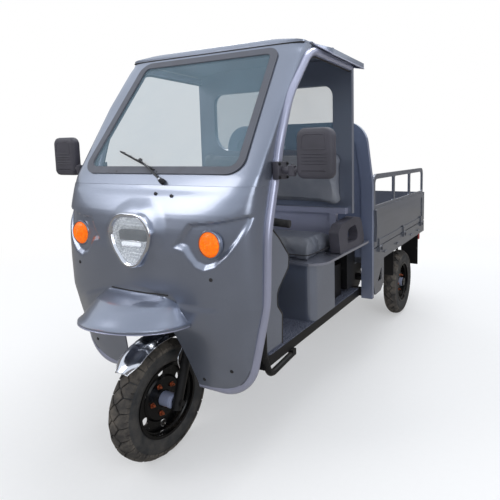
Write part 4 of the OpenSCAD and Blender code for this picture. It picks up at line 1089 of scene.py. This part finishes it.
def makeVisor():
    ws = np.radians(np.linspace(-90, 90, 91))
    ts = np.concatenate([np.linspace(0, 0.5, 14), np.linspace(0.53, 0.9, 14), [0.93, 0.955, 0.98, 1]])
    grid = np.array([[visorPoint(w, t) for w in ws] for t in ts])
    # smooth the facets a little along t, as moulding does
    soft = grid.copy()
    soft[1:-1] = (grid[:-2] + 2 * grid[1:-1] + grid[2:]) / 4
    for k in range(len(ts)):
        for j in range(len(ws)):
            p = soft[k, j]
            limit = float(frontY(p[0:1], p[2:3])[0]) - 0.5 if 400 < p[2] < 1149 else p[1]
            if p[1] > limit:
                soft[k, j, 1] = limit
    lipRow = soft[-1] - (0, 0, 13)
    soft = np.concatenate([soft, lipRow[None] + (0, 1.5, 4), lipRow[None] + (0, 6, 0)])
    n, m = soft.shape[:2]
    makePiece("visor_shell", (soft.reshape(-1, 3), ringFaces(n, m, False)), "cabPaint", sharp=42, wall=3.5,
        stands="wheel_visor")
    # painted highlight: a lighter lavender bead along the visor's rounded lip
    makePiece("visor_edge", sweep(soft[-2][2:-2] + (0, -0.5, 0), circle(2.2, 8)), "tubePaint", sharp=60)
    root = []
    for w in np.radians(np.linspace(-84, 84, 60)):
        p = visorPoint(w, 0.0)
        root.append((p[0], float(frontY(np.array([p[0]]), np.array([p[2]]))[0]) - 1.5, p[2] + 1.2))
    makePiece("visor_joint", sweep(root, circle(2.4, 8)), "seal", sharp=60)


makeTubes()
makeRoof()
makeVisor()
print("roof, tubes and visor made")

# Headlight: chrome bezel, clear lens, bowl with three projectors over a light bar
def lampRing(d, y):
    o = insetLine(lampOutline, d)
    return [(x, y, z) for x, z in o]


def inLamp(xs, zs, d=18):
    return inside(np.stack([xs, zs], 1), insetLine(lampOutline, d))


def makeHeadlight():
    y = lamp["y"]
    section = [(-1.0, 10), (-2.6, 4), (-1.5, -1.5), (2.5, -4.5), (7, -4), (10.5, -1), (12, 2.5), (13.2, 1.6), (15.2,
        3), (16, 9), (16, 34), (9, 36), (-1.0, 34)]
    makePiece("lamp_bezel", loft([lampRing(d, y + out) for d, out in section], caps=False, loop=True), "chrome",
        sharp=50, stands="headlight_bezel")
    # clear lens, bulged
    rings = []
    o = insetLine(lampOutline, 15.5) - (0, lamp["z"])
    for k in np.linspace(1, 0.02, 14):
        rings.append([(px * k, y + 4 - 14 * (1 - k * k), lamp["z"] + pz * k) for px, pz in o])
    makePiece("lamp_lens", loft(rings, caps=False), "lampGlass", sharp=60, wall=2.5, stands="headlight_lens")
    # bowl: a stepped reflector that narrows to the rear
    bowl = [(16.2, 6), (18, 12), (22, 13), (26, 26), (34, 30), (40, 40), (70, 44)]
    makePiece("lamp_bowl", loft([lampRing(d, y + out) for d, out in bowl[:-1]] + [[(px * k, y + out,
        lamp["z"] + pz * k) for px, pz in o] for k, out in ((0.3, 44), (0.02, 45))], caps=False), "reflector",
        sharp=25)
    # dark shelf across the middle with three projector eyes
    z = lamp["z"]
    shelf = plate(rounded([(-68, z - 4), (68, z - 4), (72, z + 34), (52, z + 40), (-52, z + 40), (-72, z + 34)], [6,
        6, 10, 8, 8, 10], 4), y + 14, y + 30, 2, "xz")
    makePiece("lamp_shelf", shelf, "display", sharp=30)
    eyes, cups = [], []
    for x in (-44, 0, 44):
        cups.append(turnedAlong([(19, -2), (19.5, 4), (17, 5.5), (15.5, 3), (12, -4)], (x, y + 14, z + 18), (0, -1,
            0), 32))
        eyes.append(turnedAlong([(13.5, -3), (13, 2), (11, 5.5), (7.5, 8), (3.5, 9.4), (0.2, 9.8)], (x, y + 14,
            z + 18), (0, -1, 0), 28))
    makePiece("lamp_eye_rings", together(*cups), "display")
    makePiece("lamp_eyes", together(*eyes), "display", sharp=60)
    # light bar under the shelf, framed
    bar = plate(rounded([(-52, z - 22), (52, z - 22), (52, z - 8), (-52, z - 8)], [7] * 4, 5), y + 8, y + 18, 2,
        "xz")
    makePiece("lamp_bar", bar, "led", sharp=30)
    frameLine = rounded([(-56, z - 26), (56, z - 26), (56, z - 4), (-56, z - 4)], [11] * 4, 5)
    makePiece("lamp_bar_frame", sweep([(px, y + 11, pz) for px, pz in frameLine], circle(2.4, 8), closed=True),
        "chrome", sharp=60)
    # cut facets in rows: above the shelf and below the bar
    facets = []
    for row, (zz, half) in enumerate([(z + 84, 58), (z + 70, 70), (z + 56, 76), (z - 38, 70), (z - 52, 62), (z - 66,
            52), (z - 80, 40)]):
        n = int(half / 8.5)
        for k in range(-n, n + 1):
            x = k * 8.4 * 2 / 2 + (4.2 if row % 2 else 0)
            if not inLamp(np.array([x - 8, x + 8]), np.array([zz, zz]), 24).all():
                continue
            size, depth = 6.6, 12 if row < 3 else 9
            c = (x * 1.0, y + depth + 14, zz)
            ring = [(c[0] + size * math.cos(a), c[1], c[2] + size * math.sin(a)) for a in np.linspace(0,
                2 * math.pi, 7)[:6]]
            tip = [(c[0] + 0.25 * size * math.cos(a), c[1] - depth,
                c[2] + 0.25 * size * math.sin(a)) for a in np.linspace(0, 2 * math.pi, 7)[:6]]
            facets.append(loft([ring, tip]))
    makePiece("lamp_facets", together(*facets), "reflector", sharp=15)


def makeSignals():
    y, z, r = signal["y"], signal["z"], signal["r"]
    shapes = []
    profile = [(r - 0.5, 0)]
    for k in range(9):
        a = 1 - k / 9
        top = 20 * (1 - a * a) ** 0.9
        profile += [((r - 3) * a + 1.6, top + 0.4), ((r - 3) * a, top + 2.2)]
    profile.append((0.3, 22.5))
    base = (signal["x"], y + 21, z)
    shapes = turnedAlong([(r - 0.6, -14)] + [(a, b - 2) for a, b in profile], base, (0, -1, 0), 48)
    makePiece("signal_lens", pair(shapes), "amber", sharp=24, stands="turn_signals")
    ring = turnedAlong([(r + 6, -16), (r + 6.5, -4), (r + 4, -0.5), (r + 0.6, 0.2), (r, -4), (r, -16)], base, (0,
        -1, 0), 48)
    makePiece("signal_pad", pair(ring), "cabPaint", sharp=40)


makeHeadlight()
makeSignals()
print("lamps made")

# Windscreen wiper in the pane's own plane, washer nozzles
wiper = dict(pivot=(70, -37), elbow=(-92, 58), tip0=(-250, 110), tip1=(0, 16))


def makeWiper():
    p, e, a, b = (np.array(wiper[k], float) for k in ("pivot", "elbow", "tip0", "tip1"))
    boss = turnedAlong([(11, 0), (12, 2), (12, 8), (9.5, 12), (9.5, 20), (7, 23), (3, 24)], onScreen(*p, 1),
        onScreen(0, 0, 1) - onScreen(0, 0, 0), 24)
    arm = sweep([onScreen(*(p + (e - p) * t), 17 + 3 * math.sin(t * 3)) for t in np.linspace(-0.04, 1, 16)], [(-7,
        -2.5), (7, -2.5), (8, 0), (5, 3.4), (-5, 3.4), (-8, 0)],
        sizes=np.linspace(1.15, 0.55, 16))
    joint = turnedAlong([(7, -6), (7.6, -4), (7.6, 3), (5.5, 5.5), (0.4, 6)], onScreen(*e, 17), onScreen(0, 0,
        1) - onScreen(0, 0, 0), 18)
    spine, rubber = [], []
    along = unit(b - a)
    for t in np.linspace(0, 1, 24):
        spine.append(onScreen(*(a + (b - a) * t), 9.5 + 6.5 * math.sin(math.pi * t) ** 0.8))
        rubber.append(onScreen(*(a + (b - a) * t), 5.2))
    blade = sweep(spine, [(-4, -2), (4, -2), (4.6, 0.5), (2, 2.6), (-2, 2.6), (-4.6, 0.5)],
        sizes=np.interp(np.linspace(0, 1, 24), [0, 0.08, 0.92, 1], [0.6, 1, 1, 0.6]))
    strip = sweep(rubber, [(-1.6, -4), (1.6, -4), (3.6, 1), (3.2, 3), (-3.2, 3), (-3.6, 1)])
    claws = []
    for t in (0.1, 0.3, 0.5, 0.7, 0.9):
        c = a + (b - a) * t
        claws.append(sweep([onScreen(*(c - along * 5), 7.5), onScreen(*(c + along * 5), 7.5)], [(-5, -3), (5, -3),
            (5, 5), (-5, 5)]))
    makePiece("wiper_arm", together(boss, arm, joint, blade, strip, *claws), "darkPlastic", sharp=35,
        stands="wiper")
    nut = turnedAlong([(5.5, 0), (5.5, 4), (4, 5)], onScreen(*p, 23), onScreen(0, 0, 1) - onScreen(0, 0, 0), 6)
    makePiece("wiper_nut", nut, "chrome", sharp=30)
    # two washer nozzles under the glass and the mouldings' fixing screws
    spots = [((x, float(frontY(np.array([x]), np.array([z]))[0]) - 0.5, z), (0, -1, 0.25)) for x, z in ((62.0,
        1118.0), (148.0, 1112.0))]
    nozzle = together(turnedAlong([(7, 0), (7.5, 2), (6, 5), (3.5, 6.5), (0.4, 7)], (0, 0, 0), (0, 0, 1), 18),
        turnedAlong([(1.6, 5), (1.6, 9)], (0, 0, 0), (0, 0, 1), 8))
    studs("washer_nozzles", nozzle, spots, "darkPlastic")


def makeFrontScrews():
    places = []
    for x, z in ((355.0, 816.0), (376.0, 438.0), (232.0, 372.0), (150.0, 640.0)):
        y = float(frontY(np.array([x]), np.array([z]))[0])
        y1 = float(frontY(np.array([x - 6]), np.array([z]))[0])
        y2 = float(frontY(np.array([x]), np.array([z + 6]))[0])
        n = unit(((y - y1) / 6, -1, (y2 - y) / 6))
        places.append(((x, y - 0.3, z), n))
    studs("front_screws", together(domeStud(7.5, 3.4), loft([[(a, b, 3.2) for a, b in circle(3, 6)], [(a, b,
        4.2) for a, b in circle(2.6, 6)]])), both(places), "seal")


makeWiper()
makeFrontScrews()
print("wiper made")


# Mirrors: housing with a sunk pad and ribs on its front, glass behind, a thick arm on a clamp
mirror = dict(x=685, z=1268, y=128, half=74, tall=92, radii=[28, 28, 34, 34], arm=1205)


def makeMirrors():
    m = mirror
    outline = rounded([(m["x"] - m["half"], m["z"] - m["tall"]), (m["x"] + m["half"], m["z"] - m["tall"]),
        (m["x"] + m["half"], m["z"] + m["tall"]),
        (m["x"] - m["half"], m["z"] + m["tall"])], m["radii"], 8)
    ring = lambda d, y: [(x, y, z) for x, z in insetLine(outline, d)]
    shell = loft([ring(30, 106.3), ring(18, 106.8), ring(9, 109), ring(3, 114), ring(0.4, 122), ring(0, 134),
        ring(0.6, 142), ring(3, 146), ring(7, 148), ring(9, 147.5), ring(9.6, 145), ring(30, 145)])
    pad = rounded([(m["x"] - 50, m["z"] + 14), (m["x"] + 50, m["z"] + 14), (m["x"] + 46, m["z"] + 68), (m["x"] - 46,
        m["z"] + 68)], [8, 8, 18, 18], 5)
    rim = sweep([(x, 107.2, z) for x, z in pad], circle(2.6, 8), closed=True)
    ribs = []
    for k, dz in enumerate((-2, -14, -26, -38)):
        ribs.append(sweep([(m["x"] - 56 + k, 108.6, m["z"] + dz), (m["x"] - 40, 106.6, m["z"] + dz), (m["x"] + 40,
            106.6, m["z"] + dz), (m["x"] + 56 - k, 108.6, m["z"] + dz)],
            [(-2.2, -2), (2.2, -2), (2.8, 0), (0, 2.6), (-2.8, 0)], up=(0, -1, 0)))
    arm = sweep(bentLine([(530, 150, m["arm"]), (566, 132, m["arm"]), (589, 122, m["arm"]), (628, 126,
        m["arm"] + 8)], [0, 30, 20, 0]), circle(12.5, 20),
        sizes=np.linspace(1.1, 0.85, len(bentLine([(530, 150, m["arm"]), (566, 132, m["arm"]), (589, 122, m["arm"]),
            (628, 126, m["arm"] + 8)], [0, 30, 20, 0]))))
    knuckle = together(turnedAlong([(12, 0), (15, 3), (15, 38), (12, 41)], (589, 122, m["arm"] - 20), (0, 0, 1),
        24),
        turnedAlong([(6, 0), (6, 3), (4, 4.5)], (589, 122, m["arm"] + 21), (0, 0, 1), 6))
    clamp = together(block(502, 534, 118, 188, m["arm"] - 34, m["arm"] + 34, 8, 3), block(476, 504, 172, 188,
        m["arm"] - 34, m["arm"] + 34, 4, 2),
        block(512, 537, 128, 176, m["arm"] - 22, m["arm"] + 22, 10, 3))
    bolts = [((534.5, 124, m["arm"] + s * 26), (1, 0, 0)) for s in (1, -1)] + [((534.5, 181, m["arm"] + s * 26), (1,
        0, 0)) for s in (1, -1)]
    makePiece("mirror_housings", pair(together(shell, rim, arm, knuckle, clamp, *ribs)), "plastic", sharp=38,
        stands="mirrors")
    glass = plate(insetLine(outline, 10), 144.6, 146.6, 0.6, "xz")
    makePiece("mirror_glass", pair(glass), "mirrorGlass")
    studs("mirror_bolts", hexBolt(5, 4), both(bolts), "blackSteel")


# Cab inside: trim on the leg shield, instrument, grips, switch pods
shield = dict(corners=[(96, 1140), (201, 972), (262, 918), (341, 828), (335, 775), (240, 693), (238, 633), (276,
    585), (270, 456)],
    bends=[0, 60, 40, 40, 30, 50, 30, 18, 0], half=440)
bar = dict(y=273, z=962, half=388, r=12)


def makeShield():
    line = bentLine([(shield["half"] - 1.5, y, z) for y, z in shield["corners"]], shield["bends"], 5)
    makePiece("shield_trim", pair(sweep(line[3:], circle(4.2, 10))), "seal", sharp=60)
    studs("shield_screws", domeStud(6, 2.6), both([((x, y + 3, z), (0, 1, 0.2)) for x, y, z in ((120, 345, 790),
        (95, 351, 520), (400, 262, 925))]), "seal")


def makeInstrument():
    a, b = np.array((147.6, 1046.4)), np.array((212.0, 1012.0))
    n = np.array((0.471, 0.882))
    at = lambda x, t, out: (x, *(a + (b - a) * t + n * out))
    corners = rounded([(-78, -28), (78, -28), (78, 28), (-78, 28)], [9] * 4, 5)
    ring = lambda pts, out: [at(x, 0.5 + v / 73.0, out) for x, v in pts]
    makePiece("display_pane", loft([ring(corners, 0.2), ring(corners, 1.4), ring(insetLine(corners, 1.2), 2.2)]),
        "display", sharp=30)
    makePiece("display_frame", sweep([at(x, 0.5 + v / 73.0, 1.2) for x, v in insetLine(corners, -2.6)], circle(2.6,
        8), closed=True), "plastic", sharp=60)
    marks = []
    for k in range(11):
        w = math.radians(210 - 24 * k)
        c, s = math.cos(w), math.sin(w)
        marks.append(loft([[at(-40 + c * r - s * e, 0.5 + (s * r + c * e) * 0.62 / 73.0, 2.3) for r, e in ((19,
            -0.9), (23, -0.9), (23, 0.9), (19, 0.9))],
            [at(-40 + c * r - s * e, 0.5 + (s * r + c * e) * 0.62 / 73.0, 2.8) for r, e in ((19, -0.9), (23, -0.9),
                (23, 0.9), (19, 0.9))]]))
    for k in range(5):
        x = 22 + 10 * k
        marks.append(loft([[at(x + u, 0.5 + v / 73.0, 2.3) for u, v in ((-3, -4), (3, -4), (3, 8 - k), (-3,
            8 - k))], [at(x + u, 0.5 + v / 73.0, 2.8) for u, v in ((-3, -4), (3, -4), (3, 8 - k), (-3, 8 - k))]]))
    makePiece("display_marks", together(*marks), "led", sharp=30)


def makeBars():
    a = np.array([bar["half"] - 125, bar["y"] + 165 - 35 * 125 / 173, bar["z"] - 14 + 18 * 125 / 173])
    b = np.array([bar["half"] + 4, bar["y"] + 166, bar["z"] - 14.4])
    d = unit(b - a)
    profile = [(17.6, 0), (20.5, 2), (20.5, 6), (17.6, 8)]
    for k in range(26):
        h = 10 + 4.2 * k
        profile += [(17.4, h), (18.4, h + 0.8), (18.4, h + 2.6), (17.4, h + 3.4)]
    profile += [(18.8, 122), (19.4, 126), (17, 130.5), (0.4, 131)]
    long = float(np.linalg.norm(b - a))
    makePiece("grips", pair(turnedAlong([(r, min(h,
        long - 0.2) if k < len(profile) - 2 else long + (0.8 if r > 5 else 1.2)) for k, (r,
        h) in enumerate(profile)], a, d, 28)), "seal", "steering", sharp=40)
    p0, p1 = a - d * 26, a - d * 2
    clusterBody = sweep([p0, p0 + d * 3, p1 - d * 3, p1], rounded([(-20, -22), (20, -22), (20, 20), (-20, 20)],
        [8] * 4, 4), sizes=[0.9, 1, 1, 0.9])
    makePiece("switch_pods", pair(clusterBody), "darkPlastic", "steering", sharp=35)
    buttons = [(p0 + d * 13 + (0, 17, 12), (0, 0.8, 0.6))]
    studs("switch_buttons", together(domeStud(5, 3.5)), both([(tuple(p), n) for p, n in buttons]), "red",
        "steering")


makeMirrors()
makeShield()
makeInstrument()
makeBars()
print("cab fittings made")

# Seat: cushion and backrest blown up by the cloth solver, the cushion then piped
seat = dict(
    cushion=dict(x=440, low=(530, 753.4), high=(850, 848.6), inset=13, cap=0.026),
    back=dict(x=470, low=(838, 975.6), high=(904, 1291.4), inset=11, cap=0.022),
    voxel=0.008, pressure=4.0, frames=20,
)


def puffed(name, shape, cap, flatAxis, flatAt):
    # cloth solver in a short run: pressure inside, no gravity, and a cap on how far a point moves
    points, faces = shape
    mesh = bpy.data.meshes.new(name)
    mesh.from_pydata(spot(points).tolist(), [], [tuple(int(i) for i in f) for f in faces])
    obj = bpy.data.objects.new(name, mesh)
    scene.collection.objects.link(obj)
    b = bmesh.new()
    b.from_mesh(mesh)
    bmesh.ops.remove_doubles(b, verts=b.verts, dist=0.00002)
    bmesh.ops.recalc_face_normals(b, faces=b.faces)
    b.to_mesh(mesh)
    b.free()
    remesh = obj.modifiers.new("even", "REMESH")
    remesh.mode, remesh.voxel_size = "VOXEL", seat["voxel"]
    settle(obj)
    before = np.zeros(len(obj.data.vertices) * 3)
    obj.data.vertices.foreach_get("co", before)
    before = before.reshape(-1, 3)
    after = before
    cloth = obj.modifiers.new("cloth", "CLOTH")
    s = cloth.settings
    s.quality, s.mass, s.use_pressure, s.uniform_pressure_force = 4, 0.4, True, seat["pressure"]
    s.tension_stiffness = s.compression_stiffness = 22
    s.bending_stiffness = 1.2
    s.effector_weights.gravity = 0
    cloth.point_cache.frame_start, cloth.point_cache.frame_end = 1, seat["frames"]
    for k in range(1, seat["frames"] + 1):
        scene.frame_set(k)
    seen = obj.evaluated_get(bpy.context.evaluated_depsgraph_get())
    after = np.zeros(len(before) * 3)
    seen.to_mesh().vertices.foreach_get("co", after)
    after = after.reshape(-1, 3)
    seen.to_mesh_clear()
    obj.modifiers.clear()
    scene.frame_set(1)
    move = after - before
    far = np.linalg.norm(move, axis=1, keepdims=True)
    after = before + move * np.minimum(1, cap / np.maximum(far, 1e-9))
    if flatAxis == 2:
        after[:, 2] = np.maximum(after[:, 2], flatAt)
    else:
        after[:, 1] = np.minimum(after[:, 1], flatAt)
    return obj, after


def finishPad(obj, points, name, finish, stands):
    obj.data.vertices.foreach_set("co", points.ravel())
    obj.data.update()
    sub = obj.modifiers.new("smooth", "SUBSURF")
    sub.levels = sub.render_levels = 1
    settle(obj)
    obj.name = name
    obj.data.materials.clear()
    obj.data.materials.append(finishes[finish])
    obj.data.shade_smooth()
    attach(obj, "chassis")
    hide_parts(stands)
    return obj


def makeCushion():
    c = seat["cushion"]
    y0, z0 = c["low"]
    y1, z1 = c["high"]
    inset = c["inset"]
    profile = rounded([(y0 + inset, z0), (y1 - inset, z0), (y1 - inset, z1 - inset), (y0 + inset, z1 - inset)], [14,
        12, 26, 30], 6)
    rings = []
    for x in np.linspace(-c["x"] + inset, c["x"] - inset, 23):
        rings.append([(x, y, z) for y, z in profile])
    obj, after = puffed("cushion_pad", loft(rings), c["cap"], 2, z0 / 1000)
    mm = after * 1000 + (0, axleShift, 0)
    # hollowed a little where the driver and a passenger sit
    top = smooth((mm[:, 2] - (z1 - 34)) / 20)
    sag = 5 * np.exp(-((np.abs(mm[:, 0]) - 235) / 120) ** 2) * smooth((mm[:, 1] - y0 - 60) / 90)
    mm[:, 2] -= sag * top
    mm[:, 0] = np.clip(mm[:, 0], -c["x"] + 0.4, c["x"] - 0.4)
    mm[:, 1] = np.clip(mm[:, 1], y0 - 3, y1 + 2)
    mm[:, 2] = np.clip(mm[:, 2], z0, z1 + 4)
    finishPad(obj, spot(mm), "cushion_pad", "seat", "seat_cushion")
    piping = rounded([(-c["x"] + 12, y0 + 10), (c["x"] - 12, y0 + 10), (c["x"] - 12, y1 - 10), (-c["x"] + 12,
        y1 - 10)], [26] * 4, 6)
    makePiece("cushion_piping", sweep([(x, y, z0 + 30) for x, y in insetLine(piping, -9.4)], circle(2.6, 8),
        closed=True), "seal", sharp=60)


def makeBackrest():
    c = seat["back"]
    y0, z0 = c["low"]
    y1, z1 = c["high"]
    inset = c["inset"]
    outline = rounded([(-c["x"] + inset, z0 + inset), (c["x"] - inset, z0 + inset), (c["x"] - inset, z1 - inset),
        (-c["x"] + inset, z1 - inset)], [30, 30, 46, 46], 7)
    rings = [[(x, y, z) for x, z in insetLine(outline, d)] for d, y in ((8, y0 + inset), (2, y0 + inset + 3), (0,
        y0 + inset + 9), (0, y1 - 6), (1.5, y1))]
    obj, after = puffed("backrest_cushion", loft(rings), c["cap"], 1, (y1 - axleShift) / 1000)
    mm = after * 1000 + (0, axleShift, 0)
    mm[:, 0] = np.clip(mm[:, 0], -c["x"] + 0.4, c["x"] - 0.4)
    mm[:, 1] = np.clip(mm[:, 1], y0 - 3, y1)
    mm[:, 2] = np.clip(mm[:, 2], z0, z1 + 3)
    finishPad(obj, spot(mm), "backrest_cushion", "seat", "backrest_pad")


makeCushion()
makeBackrest()
print("seat made")


def makeStage():
    # pale floor that fades into the white surround, plain soft lamps, world white to the eye
    floorFinish = Finish("pale floor")
    far = floorFinish.node("ShaderNodeVectorMath", {"operation": "LENGTH"}, [floorFinish.place],
        "Value").between(2.6, 5.2)
    grain = floorFinish.noise(40, 4)
    seen = floorFinish.node("ShaderNodeLightPath", {}, [], "Is Camera Ray")
    lit = floorFinish.node("ShaderNodeBsdfDiffuse", {}, [floorFinish.mix(grain, shade(236, 236, 236), shade(240,
        240, 240)), 0.6])
    white = floorFinish.node("ShaderNodeEmission", {}, [shade(255, 255, 255), 1.0])
    mixed = floorFinish.node("ShaderNodeMixShader", {}, [seen * (0.35 + far * 0.65), lit, white])
    ground = floorFinish.node("ShaderNodeEmission", {}, [shade(150, 146, 140), 0.75])
    mirroredRay = floorFinish.node("ShaderNodeLightPath", {}, [], "Is Glossy Ray")
    mixed = floorFinish.node("ShaderNodeMixShader", {}, [mirroredRay * 0.9, mixed, ground])
    floorFinish.node("ShaderNodeOutputMaterial", {}, [mixed])
    bpy.ops.mesh.primitive_circle_add(vertices=96, radius=9, fill_type="NGON")
    floor = bpy.context.object
    floor.name = "floor"
    floor.data.materials.append(floorFinish.material)

    # a grey wall all round that only reflections see, as the yard does in the photograph
    yard = Finish("yard")
    tone = yard.mix(yard.noise(0.7, 3).between(0.3, 0.7), shade(112, 110, 108), shade(160, 160, 164))
    yard.node("ShaderNodeOutputMaterial", {}, [yard.node("ShaderNodeEmission", {}, [tone, 0.85])])
    bpy.ops.mesh.primitive_cylinder_add(vertices=64, radius=8, depth=3.4, end_fill_type="NOTHING", location=(0, 0,
        1.7))
    wall = bpy.context.object
    wall.name = "yard"
    wall.data.materials.append(yard.material)
    wall.visible_camera = wall.visible_diffuse = wall.visible_shadow = wall.visible_transmission = False

    world = bpy.data.worlds.new("soft room")
    scene.world = world
    world.use_nodes = True
    tree = world.node_tree
    tree.nodes.clear()
    path, plain, bright = (tree.nodes.new(k) for k in ("ShaderNodeLightPath", "ShaderNodeBackground",
        "ShaderNodeBackground"))
    plain.inputs[0].default_value, plain.inputs[1].default_value = (0.9, 0.94, 1.0, 1), 0.75
    bright.inputs[1].default_value = 1.0
    either, either2 = tree.nodes.new("ShaderNodeMath"), tree.nodes.new("ShaderNodeMath")
    either.operation = either2.operation = "MAXIMUM"
    mixed, out = tree.nodes.new("ShaderNodeMixShader"), tree.nodes.new("ShaderNodeOutputWorld")
    sky = tree.nodes.new("ShaderNodeMix")
    sky.data_type = "RGBA"
    sky.inputs[6].default_value, sky.inputs[7].default_value = (0.86, 0.92, 1, 1), (1, 1, 1, 1)
    join(tree, (path.outputs["Is Camera Ray"], sky.inputs[0]), (sky.outputs[2], bright.inputs[0]))
    join(tree, (path.outputs["Is Camera Ray"], either.inputs[0]), (path.outputs["Is Glossy Ray"], either.inputs[1]),
        (either.outputs[0], either2.inputs[0]), (path.outputs["Is Transmission Ray"], either2.inputs[1]),
        (either2.outputs[0], mixed.inputs[0]), (plain.outputs[0], mixed.inputs[1]), (bright.outputs[0],
            mixed.inputs[2]),
        (mixed.outputs[0], out.inputs[0]))

    lights = dict(
        key=dict(place=(-3.4, -4.4, 4.6), size=3.2, watts=95, tint=(1, 0.98, 0.96)),
        fill=dict(place=(4.6, -3.0, 2.8), size=3.0, watts=60, tint=(0.93, 0.96, 1)),
        top=dict(place=(0.4, 1.2, 5.2), size=3.6, watts=120, tint=(0.97, 0.98, 1)),
        back=dict(place=(-3.5, 4.5, 3.2), size=2.6, watts=80, tint=(1, 1, 1)),
    )
    for name, l in lights.items():
        data = bpy.data.lights.new(name, "AREA")
        data.shape, data.size, data.energy, data.color = "DISK", l["size"], l["watts"], l["tint"]
        lampObject = bpy.data.objects.new(name, data)
        scene.collection.objects.link(lampObject)
        lampObject.location = l["place"]
        lampObject.rotation_euler = (Vector((0, 0, 0.8)) - Vector(l["place"])).to_track_quat("-Z", "Y").to_euler()


makeStage()
print("stage made")
